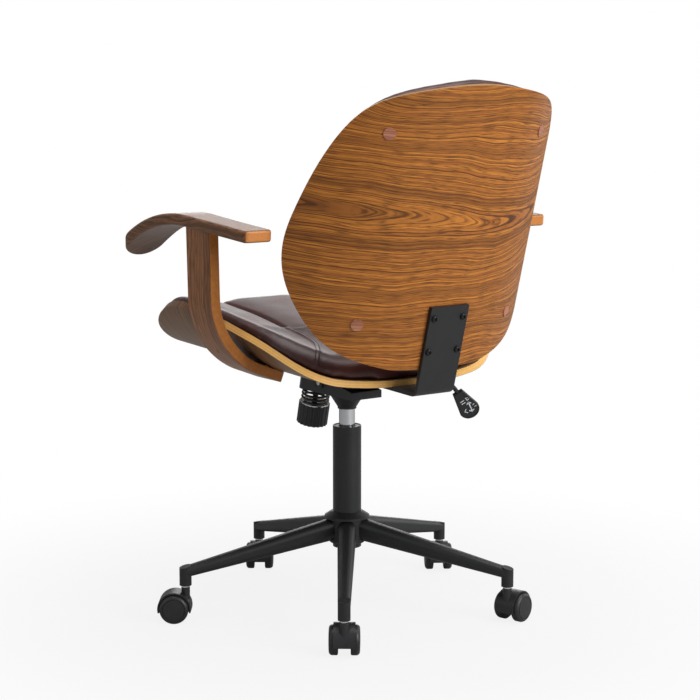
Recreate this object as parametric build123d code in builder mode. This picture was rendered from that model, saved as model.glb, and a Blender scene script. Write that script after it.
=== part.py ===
"""Swivel desk chair: bent-ply shells with leather pads, bent-ply arms, tilt plate, gas lift, castors.

Millimetres. +Z is up, the sitter faces -Y and the sitter's left is +X.
The origin is on the floor, on the axis of the column.
"""

import os
from math import asin, atan2, cos, pi, radians, sin, sqrt, tan

from build123d import *

os.makedirs("parts", exist_ok=True)

# Base and castors
LEGS = 5
STEM_CIRCLE = 292.0
LEG_TURN = 53.4
SOCKET_R = 10.5
SOCKET_FOOT = 64.0
STEM_R = 5.0
STEM_COLLAR_R = 7.0
WHEEL_R = 25.0
WHEEL_WIDTH = 15.5
WHEEL_GAP = 21.0
TRAIL = 19.0
HOOD_WIDTH = 36.0
HOOD_WALL = 2.8
AXLE_R = 4.0
CASTOR_TURNS = (233.0, 196.0, 237.0, 234.0, 324.0)
HUB_R = 32.5
HUB_FOOT = 120.0
HUB_TOP = 176.0
LEG_ROOT = (143.0, 33.0, 39.0)
LEG_END = (87.5, 21.0, 19.0)
LEG_WALL = 2.0

# Column and gas lift
TUBE_R = 25.0
TUBE_WALL = 2.0
TUBE_FOOT = 112.0
TUBE_TOP = 329.0
LIFT_R = 14.0
LIFT_BORE_R = 12.5
LIFT_FOOT = 165.0
LIFT_TOP = 398.0
CONE_FOOT = 359.0
TAPER_TOP_R = 13.4
ROD_R = 5.0
VALVE_R = 4.0
VALVE_TOP = 402.0

# Tilt mechanism
HOUSING_HALF = 32.0
HOUSING_WALL = 3.0
HOUSING_FOOT = 383.0
HOUSING_TOP = 413.0
HOUSING_REAR = 58.0
PIVOT_Y = -35.0
PIVOT_Z = 403.0
PIVOT_R = 5.0
PLATE_HALF = 80.0
PLATE_FRONT = -122.0
PLATE_REAR = 92.0
PLATE_THICK = 3.0
KNOB_TOP = (0.0, -100.0, 355.0)
KNOB_LEAN = 13.5
KNOB_R = 28.0
KNOB_HEIGHT = 38.0
KNOB_FLUTES = 20
KNOB_TRAVEL = 3.5
STUD_R = 5.0
CUP_R = 28.0
CUP_WALL = 3.0
SPRING_LENGTH = 48.0
SPRING_WIRE = 4.2
SPRING_MEAN_R = 23.6
SPRING_PITCH = 6.6
WASHER_THICK = 2.0
LEVER_R = 4.0
LEVER_PIVOT_X = -39.0
LEVER_SPREAD = 11.0
LEVER_PIN_R = 2.5

# Seat
SEAT_PITCH = 2.18
SEAT_AT = (0.0, 175.0, 423.8)
SEAT_TROUGH = (974.0, 137.0, 149.0)
SEAT_REAR = (242.5, -5.2, 169.0)
SEAT_FRONT = (330.0, 471.0, 156.0)
SEAT_PLY = 12.0
SEAT_CUT = 45.0
SEAT_PAD_TOP = ((0, 56), (65, 54), (121, 50), (165, 64), (210, 86), (285, 129))
SEAT_CHANNEL = (86.0, 52.2)
CHANNEL_R = 5.0
PAD_RISE = radians(4.1)
PAD_ROUND = 14.0
SEAT_BOLTS = ((66.0, -90.0), (-66.0, -90.0), (66.0, 62.0), (-66.0, 62.0))
BRACKET_BOLTS = ((24.0, 76.0), (-24.0, 76.0), (0.0, 52.0))
BOLT_R = 3.0
BOLT_HEAD_R = 5.5
BOLT_HEAD = 4.0
SPACER_R = 9.0
SCREW_HEAD_R = 6.0
SCREW_HEAD = 3.5
SCREW_DOME = 2.4
SCREW_SOCKET_R = 2.6
SCREW_SOCKET = 1.8
INSERT_R = 5.0
INSERT_DEPTH = 8.0

# Back
BACK_LEAN = 15.1
BACK_AT = (0.0, 276.7, 550.0)
BACK_TROUGH = (430.0, 95.0, 245.0)
BACK_PLY = 12.0
BACK_CUT = 45.0
BACK_PAD_FRONT = ((0, 56), (70, 54), (140, 49), (220, 44), (310, 38))
BACK_CHANNEL = (116.0, 51.0)
PLUG_R = 10.0
PLUG_DEPTH = 6.0
PLUG_PROUD = 1.5
BRACKET_SCREWS = ((29.5, -0.5), (-29.5, -0.5), (29.5, -58.0), (-29.5, -58.0))
LET_IN = 1.6
PLUG_SPOTS = ((152.5, 298.0), (154.0, -15.0))
BRACKET_HALF = 38.5
BRACKET_THICK = 5.0
BRACKET_TOP = 19.0
BRACKET_FRONT = 35.0
BRACKET_BEND = 9.0

# Arms
STRIP_THICK = 18.0
STRIP_WIDTH = 74.0
STRIP_REAR = 50.0
STRIP_X = 290.0
STRIP_X_AT = 678.0
STRIP_FOOT = (165.0, 445.0)
STRIP_ROUND = 2.0
ARM_BOLT_IN = 20.0
ARM_BOLT_YS = (-6.0, 31.0)
ARM_BOLT_SUNK = 4.5
DOWEL_R = 4.0
DOWEL_X = 299.2
DOWEL_FOOT = 660.0
DOWEL_LENGTH = 36.0
STRIP_LEAN = 1.1
STRIP_BEND = 126.0
STRIP_FOOT_TURN = 21.0
SLOT_TURN = 41.0
SLOT_LENGTH = 10.0
SLOT_WIDTH = 3.6
SLOT_DEPTH = 3.0
BOARD_REAR = (163.0, 694.3)
BOARD_THICK = 19.5
BOARD_SLOPE = 4.4
BOARD_STRAIGHT = 185.0
BOARD_BEND = 361.0
BOARD_LENGTH = 460.0
BOARD_OUTER_X = 312.0
BOARD_INNER_X = 259.0
BOARD_TIP = (266.0, -256.0)
BOARD_SHOULDER = -120.0
BOARD_NECK = (238.5, -167.0)
BOARD_NECK_END = 110.0
BOARD_CORNER = 9.0
BOARD_ROUND = 4.0

# Clearances
RUN = 0.05
PLAY = 0.4

# The seat stands on a plane pitched up to the front: x, towards the rear, up.
PITCH = radians(SEAT_PITCH)
SEAT = Plane(origin=SEAT_AT, x_dir=(1, 0, 0), z_dir=(0, sin(PITCH), cos(PITCH)))
SEAT_SECTION = Plane(origin=SEAT_AT, x_dir=(1, 0, 0), z_dir=(0, -cos(PITCH), sin(PITCH)))
# The back's section lies across its lean: x, towards the sitter, up along the back.
LEAN = radians(BACK_LEAN)
BACK = Plane(origin=BACK_AT, x_dir=(-1, 0, 0), z_dir=(0, sin(LEAN), cos(LEAN)))
# The tension stud's line, its knob's top face at zero.
STUD_LEAN = radians(KNOB_LEAN)
STUD = Plane(origin=KNOB_TOP, x_dir=(1, 0, 0), z_dir=(0, sin(STUD_LEAN), cos(STUD_LEAN)))


def at(plane, x, y, z):
    """Point of a plane's own frame in the chair's frame."""
    return plane.from_local_coords(Vector(x, y, z))


def along(plane, x, y, z):
    """Direction of a plane's own frame in the chair's frame."""
    return at(plane, x, y, z) - plane.origin


def raised(z):
    """Horizontal plane at a height."""
    return Plane.XY.offset(z)


def seat_v(y):
    """Place along the pitched seat plane for a distance behind the column."""
    return (y - SEAT_AT[1]) / cos(PITCH)


def trough(shape, s, off=0.0):
    """Point and slope of a bent panel's section at s along its outer face, off inside it."""
    mid_r, mid_half, side_r = shape
    turn = asin(mid_half / mid_r)
    if s <= mid_r * turn:
        a = s / mid_r
        return (mid_r - off) * sin(a), mid_r - (mid_r - off) * cos(a), a
    a = turn + (s - mid_r * turn) / side_r
    x = (mid_r - side_r) * sin(turn) + (side_r - off) * sin(a)
    y = mid_r - (mid_r - side_r) * cos(turn) - (side_r - off) * cos(a)
    return x, y, a


def trough_s(shape, x):
    """Length along the outer face at which the section stands x from the middle."""
    mid_r, mid_half, side_r = shape
    turn = asin(mid_half / mid_r)
    if x <= mid_half:
        return mid_r * asin(x / mid_r)
    return mid_r * turn + side_r * (asin(sin(turn) + (x - mid_half) / side_r) - turn)


def trough_line(shape, reach, off):
    """Arcs of half the section, from the middle to reach, off inside the outer face."""
    knee = shape[0] * asin(shape[1] / shape[0])
    for first, last in ((0.0, knee), (knee, reach)):
        ThreePointArc(*[trough(shape, s, off)[:2] for s in (first, (first + last) / 2, last)])


def half_band(shape, reach, near, far):
    """Lines round half a bent panel's section between two depths."""
    trough_line(shape, reach, near)
    trough_line(shape, reach, far)
    for s in (0.0, reach):
        Line(trough(shape, s, near)[:2], trough(shape, s, far)[:2])


def biarc(p, u, q, v):
    """Draws two arcs from p to q that leave along u and arrive along v."""
    gap, both = q - p, u + v
    square = 2 * (1 - u.dot(v))
    reach = (sqrt(gap.dot(both) ** 2 + square * gap.dot(gap)) - gap.dot(both)) / square
    first, second = p + u * reach, q - v * reach
    middle = (first + second) * 0.5
    TangentArc(p, middle, tangent=u)
    TangentArc(middle, q, tangent=second - first)


def seen(shape, cut, s):
    """Place of the outer face's point s as seen square to a wing that slopes at cut."""
    x, rise, _ = trough(shape, s)
    return x * cos(cut) + rise * sin(cut)


def wing_plane(section, cut):
    """Sketch plane square to a wing: across the wing, then along the panel."""
    return Plane(
        origin=section.origin,
        x_dir=along(section, cos(cut), sin(cut), 0),
        z_dir=along(section, sin(cut), -cos(cut), 0),
    )


def wing_outline(shape, cut, stations, margin):
    """Lines round half an outline given on the flat blank, carried past the middle."""
    points = [(seen(shape, cut, s), t) for s, t in stations]
    Spline(*points, tangents=((1, 0), (-1, 0)))
    Polyline(points[0], (-margin, points[0][1]), (-margin, points[-1][1]), points[-1])


def rounded(a, b, c, r, steps=5):
    """Points on the arc of radius r that rounds the corner b."""
    a, b, c = Vector(*a), Vector(*b), Vector(*c)
    u, v = (a - b).normalized(), (c - b).normalized()
    half = u.get_angle(v) * pi / 360
    middle = b + (u + v).normalized() * (r / sin(half))
    first = b + u * (r / tan(half)) - middle
    last = b + v * (r / tan(half)) - middle
    turn = atan2(first.X * last.Y - first.Y * last.X, first.dot(last))
    points = []
    for i in range(steps):
        w = first.rotate(Axis.Z, turn * 180 / pi * i / (steps - 1))
        points.append(((middle + w).X, (middle + w).Y))
    return points


def seat_outline(inset):
    """Half outline of the flat seat blank, from the rear middle to the front middle."""
    rear_half, rear, rear_r = SEAT_REAR
    front_half, front, front_r = SEAT_FRONT
    rear_mid, rear_corner = (0.0, rear + inset), (rear_half - inset, rear + inset)
    front_mid, front_corner = (0.0, front - inset), (front_half - inset, front - inset)
    arc_1 = rounded(rear_mid, rear_corner, front_corner, rear_r - inset)
    arc_2 = rounded(rear_corner, front_corner, front_mid, front_r - inset)
    return [rear_mid] + arc_1 + arc_2 + [front_mid]


def back_outline(inset, lift):
    """Half outline of the flat back blank, from the top middle to the bottom middle."""
    stations = (
        (0, 381.5), (110, 368.5), (190, 337), (247, 260), (284, 160),
        (297, 95), (290, 48), (255, -10), (190, -63), (100, -88), (0, -91),
    )
    middle = 150.0
    points = []
    for s, h in stations:
        shift = lift * max(0.0, (h - middle) / (381.5 - middle)) - inset * min(0.0, h - middle) / -241
        points.append((s * (1 - inset / 297), h + shift))
    return points


def spot(section, shape, x, h, off=0.0):
    """Plane on a bent panel's outer face, looking outwards, at x from the middle and h along it."""
    side = 1 if x >= 0 else -1
    px, py, a = trough(shape, trough_s(shape, abs(x)), off)
    return Plane(
        origin=at(section, side * px, py, h),
        x_dir=along(section, 0, 0, 1),
        z_dir=along(section, side * sin(a), -cos(a), 0),
    )


def strip_x(z):
    """How far out the upright run of an arm strip's inner face stands at a height."""
    return STRIP_X + (z - STRIP_X_AT) * tan(radians(STRIP_LEAN))


def arm_bolt(side, y):
    """Plane on the lower run of an arm strip's inner face, looking up at the seat, at its bolt."""
    a = radians(STRIP_FOOT_TURN)
    x, z = STRIP_FOOT[0] + ARM_BOLT_IN * cos(a), STRIP_FOOT[1] + ARM_BOLT_IN * sin(a)
    return Plane(origin=(side * x, y, z), x_dir=(0, 1, 0), z_dir=(-side * sin(a), 0, cos(a)))


foot_rise = tan(radians(STRIP_FOOT_TURN))
knee_run = (strip_x(STRIP_FOOT[1]) - STRIP_FOOT[0]) / (1 - foot_rise * tan(radians(STRIP_LEAN)))
STRIP_KNEE = (STRIP_FOOT[0] + knee_run, STRIP_FOOT[1] + knee_run * foot_rise)
ARM_BOLTS = [arm_bolt(side, y) for side in (1, -1) for y in ARM_BOLT_YS]


def save(piece, name):
    """Names a piece and writes it."""
    piece.part.label = name
    export_step(piece.part, "parts/" + name + ".step")


# Hub
with BuildPart() as hub:
    with BuildSketch(Plane.XZ):
        with BuildLine():
            Polyline(
                (TUBE_R, HUB_FOOT), (HUB_R - 2, HUB_FOOT), (HUB_R, HUB_FOOT + 2),
                (HUB_R, HUB_TOP - 13), (HUB_R + 7, HUB_TOP - 12), (HUB_R + 7, HUB_TOP - 8),
                (TUBE_R + 2, HUB_TOP), (TUBE_R, HUB_TOP), close=True,
            )
        make_face()
    revolve(axis=Axis.Z)
save(hub, "hub")


def leg_section(r):
    """Height of the middle, width and height of a leg's section at r from the column."""
    t = (r - HUB_R) / (STEM_CIRCLE - HUB_R)
    return [a + (b - a) * t for a, b in zip(LEG_ROOT, LEG_END)]


# Legs, each a tapered tube with its castor socket
leg_slope = (LEG_ROOT[0] + LEG_ROOT[2] / 2 - LEG_END[0] - LEG_END[2] / 2) / (STEM_CIRCLE - HUB_R)
leg_end_top = LEG_END[0] + LEG_END[2] / 2
for n in range(LEGS):
    with BuildPart() as leg:
        for r in (HUB_R - 10, STEM_CIRCLE):
            z, wide, tall = leg_section(r)
            with BuildSketch(Plane(origin=(r, 0, z), x_dir=(0, 1, 0), z_dir=(1, 0, 0))):
                RectangleRounded(wide, tall, 0.42 * min(wide, tall))
        loft()
        for r in (HUB_R - 12, STEM_CIRCLE - SOCKET_R - 4):
            z, wide, tall = leg_section(r)
            inside = (wide - 2 * LEG_WALL, tall - 2 * LEG_WALL)
            with BuildSketch(Plane(origin=(r, 0, z), x_dir=(0, 1, 0), z_dir=(1, 0, 0))):
                RectangleRounded(*inside, 0.4 * min(inside))
        loft(mode=Mode.SUBTRACT)
        with BuildSketch(raised(SOCKET_FOOT)):
            with Locations((STEM_CIRCLE, 0)):
                Circle(SOCKET_R)
        extrude(amount=leg_end_top + 4 - SOCKET_FOOT)
        with BuildSketch(Plane.XZ):
            with BuildLine():
                Polyline(
                    (STEM_CIRCLE - 60, leg_end_top + 60 * leg_slope),
                    (STEM_CIRCLE + 30, leg_end_top - 30 * leg_slope),
                    (STEM_CIRCLE + 30, leg_end_top + 60), (STEM_CIRCLE - 60, leg_end_top + 60), close=True,
                )
            make_face()
        extrude(amount=SOCKET_R * 2, both=True, mode=Mode.SUBTRACT)
        with BuildSketch(raised(SOCKET_FOOT)):
            with Locations((STEM_CIRCLE, 0)):
                Circle(STEM_R)
        extrude(amount=LEG_END[0] + 2 - SOCKET_FOOT, mode=Mode.SUBTRACT)
        with BuildSketch(raised(HUB_FOOT - 10)):
            Circle(HUB_R)
        extrude(amount=HUB_TOP - HUB_FOOT, mode=Mode.SUBTRACT)
    leg.part = leg.part.rotate(Axis.Z, LEG_TURN + n * 360 / LEGS)
    save(leg, f"leg_{n + 1}")

# Castor stems, one group
with BuildPart() as castor_stems:
    with PolarLocations(STEM_CIRCLE, LEGS, start_angle=LEG_TURN):
        with Locations((0, 0, WHEEL_R + 12)):
            Cylinder(STEM_R, LEG_END[0] - WHEEL_R - 12, align=(Align.CENTER, Align.CENTER, Align.MIN))
        with Locations((0, 0, SOCKET_FOOT - 3)):
            Cylinder(STEM_COLLAR_R, 3, align=(Align.CENTER, Align.CENTER, Align.MIN))
save(castor_stems, "castor_stems")

# Castors: the wheel centre trails the stem along the castor's own x
HOOD_R = WHEEL_R + 1.2 + HOOD_WALL
AXLE_HALF = WHEEL_GAP / 2 + WHEEL_WIDTH - 2.5
HOOD_FOOT = WHEEL_R - 6.5
BOSS_TOP = SOCKET_FOOT - 3 - PLAY
for n in range(LEGS):
    turn = radians(LEG_TURN + n * 360 / LEGS)
    place = Location((STEM_CIRCLE * cos(turn), STEM_CIRCLE * sin(turn), 0), (0, 0, CASTOR_TURNS[n]))
    side_view = Plane.XZ
    with BuildPart() as hood:
        with BuildSketch(side_view):
            with Locations((TRAIL, WHEEL_R)):
                Circle(HOOD_R)
                Circle(HOOD_R - HOOD_WALL, mode=Mode.SUBTRACT)
            with Locations((TRAIL, HOOD_FOOT)):
                Rectangle(3 * HOOD_R, HOOD_R, align=(Align.CENTER, Align.MAX), mode=Mode.SUBTRACT)
        extrude(amount=HOOD_WIDTH / 2, both=True)
        with BuildSketch(side_view):
            with Locations((TRAIL, WHEEL_R)):
                Circle(HOOD_R - 1)
            with Locations((TRAIL, HOOD_FOOT)):
                Rectangle(3 * HOOD_R, HOOD_R, align=(Align.CENTER, Align.MAX), mode=Mode.SUBTRACT)
        extrude(amount=WHEEL_GAP / 2 - 0.8, both=True)
        with BuildSketch(raised(WHEEL_R)):
            Circle(STEM_R + 2.4)
        extrude(amount=BOSS_TOP - WHEEL_R)
        with BuildSketch(raised(WHEEL_R + 11)):
            Circle(STEM_R + RUN)
        extrude(amount=BOSS_TOP, mode=Mode.SUBTRACT)
        with BuildSketch(side_view):
            with Locations((TRAIL, WHEEL_R)):
                Circle(AXLE_R)
        extrude(amount=HOOD_WIDTH, both=True, mode=Mode.SUBTRACT)
    hood.part = hood.part.moved(place)
    save(hood, f"castor_hood_{n + 1}")

    with BuildPart() as axle:
        with BuildSketch(side_view):
            with Locations((TRAIL, WHEEL_R)):
                Circle(AXLE_R)
        extrude(amount=AXLE_HALF, both=True)
    axle.part = axle.part.moved(place)
    save(axle, f"castor_axle_{n + 1}")

    for letter, side in (("a", 1), ("b", -1)):
        inner = WHEEL_GAP / 2
        outer = inner + WHEEL_WIDTH
        hub_plane = Plane(origin=(TRAIL, 0, WHEEL_R), x_dir=(0, 0, 1), z_dir=(1, 0, 0))
        with BuildPart() as wheel:
            with BuildSketch(hub_plane):
                with BuildLine():
                    Polyline(
                        (AXLE_R + RUN, side * inner), (WHEEL_R - 1.5, side * inner),
                        (WHEEL_R, side * (inner + 1.5)), (WHEEL_R, side * (outer - 6)),
                    )
                    ThreePointArc(
                        (WHEEL_R, side * (outer - 6)), (WHEEL_R - 1.6, side * (outer - 2.4)),
                        (WHEEL_R - 5, side * (outer - 0.6)),
                    )
                    Polyline(
                        (WHEEL_R - 5, side * (outer - 0.6)), (WHEEL_R - 5.6, side * (outer - 1.4)),
                        (WHEEL_R - 6.4, side * (outer - 1.4)), (WHEEL_R - 7, side * (outer - 0.4)),
                        (AXLE_R + 3, side * outer), (0, side * outer), (0, side * (AXLE_HALF + PLAY)),
                        (AXLE_R + RUN, side * (AXLE_HALF + PLAY)), (AXLE_R + RUN, side * inner),
                    )
                make_face()
            revolve(axis=Axis((TRAIL, 0, WHEEL_R), (0, 1, 0)))
        wheel.part = wheel.part.moved(place)
        save(wheel, f"wheel_{n + 1}{letter}")

# Outer tube with its floor
with BuildPart() as outer_tube:
    with BuildSketch(raised(TUBE_FOOT)):
        Circle(TUBE_R)
    extrude(amount=TUBE_TOP - TUBE_FOOT)
    with BuildSketch(raised(TUBE_FOOT + 4)):
        Circle(TUBE_R - TUBE_WALL)
    extrude(amount=TUBE_TOP - TUBE_FOOT, mode=Mode.SUBTRACT)
    with BuildSketch(raised(TUBE_FOOT)):
        Circle(ROD_R + 0.5)
    extrude(amount=10, mode=Mode.SUBTRACT)
save(outer_tube, "outer_tube")

# Guide bush that the lift cylinder slides and turns in
with BuildPart() as guide_bush:
    with BuildSketch(raised(TUBE_TOP - 76)):
        Circle(TUBE_R - TUBE_WALL)
        Circle(LIFT_R + RUN, mode=Mode.SUBTRACT)
    extrude(amount=75)
    chamfer(guide_bush.edges().group_by(Axis.Z)[-1].sort_by(SortBy.RADIUS)[0], 1.5)
save(guide_bush, "guide_bush")

# Thrust bearing under the piston rod's collar
BEARING_TOP = TUBE_FOOT + 10
with BuildPart() as thrust_bearing:
    with BuildSketch(raised(TUBE_FOOT + 4)):
        Circle(ROD_R + 10)
        Circle(ROD_R + RUN, mode=Mode.SUBTRACT)
    extrude(amount=6)
    with BuildSketch(raised(TUBE_FOOT + 6)):
        Circle(ROD_R + 12)
        Circle(ROD_R + 8.5, mode=Mode.SUBTRACT)
    extrude(amount=2, mode=Mode.SUBTRACT)
save(thrust_bearing, "thrust_bearing")

# Piston rod, with its collar, its piston and a retaining foot below the tube's floor
with BuildPart() as piston_rod:
    with BuildSketch(Plane.XZ):
        with BuildLine():
            Polyline(
                (0, TUBE_FOOT - 6), (ROD_R + 2.5, TUBE_FOOT - 6), (ROD_R + 2.5, TUBE_FOOT - PLAY),
                (ROD_R, TUBE_FOOT - PLAY), (ROD_R, BEARING_TOP), (ROD_R + 5, BEARING_TOP),
                (ROD_R + 5, BEARING_TOP + 4), (ROD_R, BEARING_TOP + 4), (ROD_R, LIFT_FOOT + 103),
                (LIFT_BORE_R - RUN, LIFT_FOOT + 103), (LIFT_BORE_R - RUN, LIFT_FOOT + 117),
                (0, LIFT_FOOT + 117), close=True,
            )
        make_face()
    revolve(axis=Axis.Z)
save(piston_rod, "piston_rod")

# Lift cylinder: bored, necked round the rod at its foot, tapered into the tilt housing
with BuildPart() as lift_cylinder:
    with BuildSketch(Plane.XZ):
        with BuildLine():
            Polyline(
                (ROD_R + RUN, LIFT_FOOT), (LIFT_R, LIFT_FOOT), (LIFT_R, CONE_FOOT), (TAPER_TOP_R, LIFT_TOP),
                (VALVE_R + RUN, LIFT_TOP), (VALVE_R + RUN, LIFT_TOP - 12), (LIFT_BORE_R, LIFT_TOP - 12),
                (LIFT_BORE_R, LIFT_FOOT + 14), (ROD_R + RUN, LIFT_FOOT + 14), close=True,
            )
        make_face()
    revolve(axis=Axis.Z)
save(lift_cylinder, "lift_cylinder")

# Valve pin
with BuildPart() as valve_pin:
    with BuildSketch(raised(LIFT_TOP - 16)):
        Circle(VALVE_R)
    extrude(amount=VALVE_TOP - LIFT_TOP + 16)
save(valve_pin, "valve_pin")

# Tilt housing: open steel box, spring cup at its nose, tapered socket under it, stop ledge, lever ears
LEVER_Y = -LEVER_PIVOT_X * tan(radians(LEVER_SPREAD))
LEVER_Z = VALVE_TOP + PLAY + LEVER_R
cup_end = SPRING_LENGTH + WASHER_THICK
nose_y = KNOB_TOP[1] + (HOUSING_FOOT - KNOB_TOP[2]) * tan(STUD_LEAN)
plate_foot = -BRACKET_THICK - PLATE_THICK
with BuildPart() as tilt_housing:
    with BuildSketch(Plane.YZ):
        with BuildLine():
            Polyline(
                (nose_y, HOUSING_FOOT), (HOUSING_REAR, HOUSING_FOOT), (HOUSING_REAR, HOUSING_FOOT + 13),
                (PIVOT_Y + 10, HOUSING_TOP), (nose_y, HOUSING_TOP), close=True,
            )
        make_face()
    extrude(amount=HOUSING_HALF, both=True)
    with BuildSketch(STUD):
        Circle(CUP_R + CUP_WALL)
    extrude(amount=2 * cup_end)
    ledge_front = nose_y - CUP_R - 1
    with BuildSketch(Plane.YZ):
        with BuildLine():
            Polyline(
                (ledge_front, HOUSING_FOOT), (ledge_front + 9, HOUSING_FOOT),
                (ledge_front + 9, HOUSING_TOP + 25), (ledge_front, HOUSING_TOP + 25), close=True,
            )
        make_face()
    extrude(amount=12, both=True)
    with BuildSketch(Plane.YZ):
        with Locations((nose_y, HOUSING_TOP)):
            Rectangle(80, 60, align=(Align.CENTER, Align.MIN))
        with Locations((ledge_front + 4.5, HOUSING_TOP)):
            Rectangle(9, 60, align=(Align.CENTER, Align.MIN), mode=Mode.SUBTRACT)
    extrude(amount=60, both=True, mode=Mode.SUBTRACT)
    with BuildSketch(SEAT.offset(plate_foot)):
        Rectangle(800, 800)
    extrude(amount=60, mode=Mode.SUBTRACT)
    with BuildSketch(raised(HOUSING_FOOT)):
        Rectangle(400, 600)
    extrude(amount=-60, mode=Mode.SUBTRACT)
    with BuildSketch(raised(HOUSING_FOOT + HOUSING_WALL)):
        with Locations((0, PIVOT_Y - 20)):
            Rectangle(
                2 * (HOUSING_HALF - HOUSING_WALL), HOUSING_REAR - HOUSING_WALL - PIVOT_Y + 20,
                align=(Align.CENTER, Align.MIN),
            )
    extrude(amount=60, mode=Mode.SUBTRACT)
    with BuildSketch(STUD.offset(-5)):
        Circle(CUP_R)
    extrude(amount=cup_end + 5, mode=Mode.SUBTRACT)
    with BuildSketch(STUD):
        Circle(STUD_R + 4)
    extrude(amount=2 * cup_end, mode=Mode.SUBTRACT)
    with BuildSketch(Plane.XZ):
        with BuildLine():
            Polyline(
                (0, CONE_FOOT), (LIFT_R + 2.5, CONE_FOOT), (LIFT_R + 2.5, CONE_FOOT + 3),
                (LIFT_R + 14, HOUSING_FOOT - 3), (LIFT_R + 14, HOUSING_FOOT + HOUSING_WALL),
                (LIFT_R + 6, HOUSING_FOOT + HOUSING_WALL), (LIFT_R + 6, LIFT_TOP - 2),
                (0, LIFT_TOP - 2), close=True,
            )
        make_face()
    revolve(axis=Axis.Z)
    with BuildSketch(Plane.XZ):
        with BuildLine():
            Polyline(
                (0, CONE_FOOT), (LIFT_R, CONE_FOOT), (TAPER_TOP_R, LIFT_TOP), (0, LIFT_TOP), close=True,
            )
        make_face()
    revolve(axis=Axis.Z, mode=Mode.SUBTRACT)
    with BuildSketch(raised(LEVER_Z - 7)):
        with Locations((LEVER_PIVOT_X, LEVER_Y)):
            Rectangle(2 * (-LEVER_PIVOT_X - HOUSING_HALF), 19)
            Rectangle(40, 12, mode=Mode.SUBTRACT)
    extrude(amount=12)
    with BuildSketch(raised(LEVER_Z - 7)):
        with Locations((-HOUSING_HALF, LEVER_Y)):
            Rectangle(12, 14)
    extrude(amount=40, mode=Mode.SUBTRACT)
    with BuildSketch(Plane.YZ):
        with Locations((PIVOT_Y, PIVOT_Z)):
            Circle(PIVOT_R)
    extrude(amount=60, both=True, mode=Mode.SUBTRACT)
    with BuildSketch(Plane.XZ):
        with Locations((LEVER_PIVOT_X, LEVER_Z)):
            Circle(LEVER_PIN_R)
    extrude(amount=60, both=True, mode=Mode.SUBTRACT)
    with BuildSketch(Plane.YZ.offset(HOUSING_HALF)):
        with Locations((PIVOT_Y - 13, PIVOT_Z - 4)):
            SlotOverall(10, 4, rotation=90)
    extrude(amount=-HOUSING_WALL, mode=Mode.SUBTRACT)
save(tilt_housing, "tilt_housing")

# Pivot pin, tight in the housing
EAR_IN = HOUSING_HALF + PLAY
EAR_OUT = EAR_IN + PLATE_THICK
with BuildPart() as pivot_pin:
    with BuildSketch(Plane.YZ):
        with Locations((PIVOT_Y, PIVOT_Z)):
            Circle(PIVOT_R)
    extrude(amount=EAR_OUT + 2, both=True)
save(pivot_pin, "pivot_pin")


def bent_path(points, r):
    """Draws straight runs joined by arcs of radius r."""
    points = [Vector(*p) for p in points]
    start = points[0]
    for before, corner, after in zip(points, points[1:], points[2:]):
        u, v = (before - corner).normalized(), (after - corner).normalized()
        reach = r / tan(u.get_angle(v) * pi / 360)
        Line(start, corner + u * reach)
        TangentArc(corner + u * reach, corner + v * reach, tangent=-u)
        start = corner + v * reach
    Line(start, points[-1])


# Seat plate with the two ears that hang on the pivot pin
with BuildPart() as seat_plate:
    with BuildSketch(SEAT.offset(plate_foot)):
        with Locations((0, seat_v((PLATE_FRONT + PLATE_REAR) / 2))):
            RectangleRounded(2 * PLATE_HALF, (PLATE_REAR - PLATE_FRONT) / cos(PITCH), 14)
    extrude(amount=PLATE_THICK)
    for side in (1, -1):
        with BuildSketch(Plane.YZ.offset(side * EAR_IN)):
            with Locations((PIVOT_Y, PIVOT_Z)):
                Circle(PIVOT_R + 5)
            with BuildLine():
                Polyline(
                    (PIVOT_Y - PIVOT_R - 5, PIVOT_Z), (PIVOT_Y + PIVOT_R + 5, PIVOT_Z),
                    (PIVOT_Y + 24, PIVOT_Z + 40), (PIVOT_Y - 24, PIVOT_Z + 40), close=True,
                )
            make_face()
        extrude(amount=side * PLATE_THICK)
    with BuildSketch(SEAT.offset(plate_foot + PLATE_THICK)):
        Rectangle(600, 900)
    extrude(amount=60, mode=Mode.SUBTRACT)
    with BuildSketch(Plane.YZ):
        with Locations((PIVOT_Y, PIVOT_Z)):
            Circle(PIVOT_R + RUN)
    extrude(amount=60, both=True, mode=Mode.SUBTRACT)
    with BuildSketch(SEAT.offset(plate_foot)):
        with Locations(*[(x, seat_v(y)) for x, y in SEAT_BOLTS + BRACKET_BOLTS]):
            Circle(BOLT_R)
    extrude(amount=PLATE_THICK, mode=Mode.SUBTRACT)
save(seat_plate, "seat_plate")

# Tension stud, welded under the plate
with BuildPart() as tension_stud:
    with BuildSketch(STUD.offset(8 + KNOB_TRAVEL - KNOB_HEIGHT)):
        Circle(STUD_R)
    extrude(amount=3 * KNOB_HEIGHT)
    with BuildSketch(SEAT.offset(plate_foot)):
        Rectangle(600, 900)
    extrude(amount=90, mode=Mode.SUBTRACT)
save(tension_stud, "tension_stud")

# Washer between the knob and the spring
with BuildPart() as tension_washer:
    with BuildSketch(STUD):
        Circle(SPRING_MEAN_R + SPRING_WIRE / 2 + 0.8)
        Circle(STUD_R + RUN, mode=Mode.SUBTRACT)
    extrude(amount=WASHER_THICK)
save(tension_washer, "tension_washer")

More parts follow.
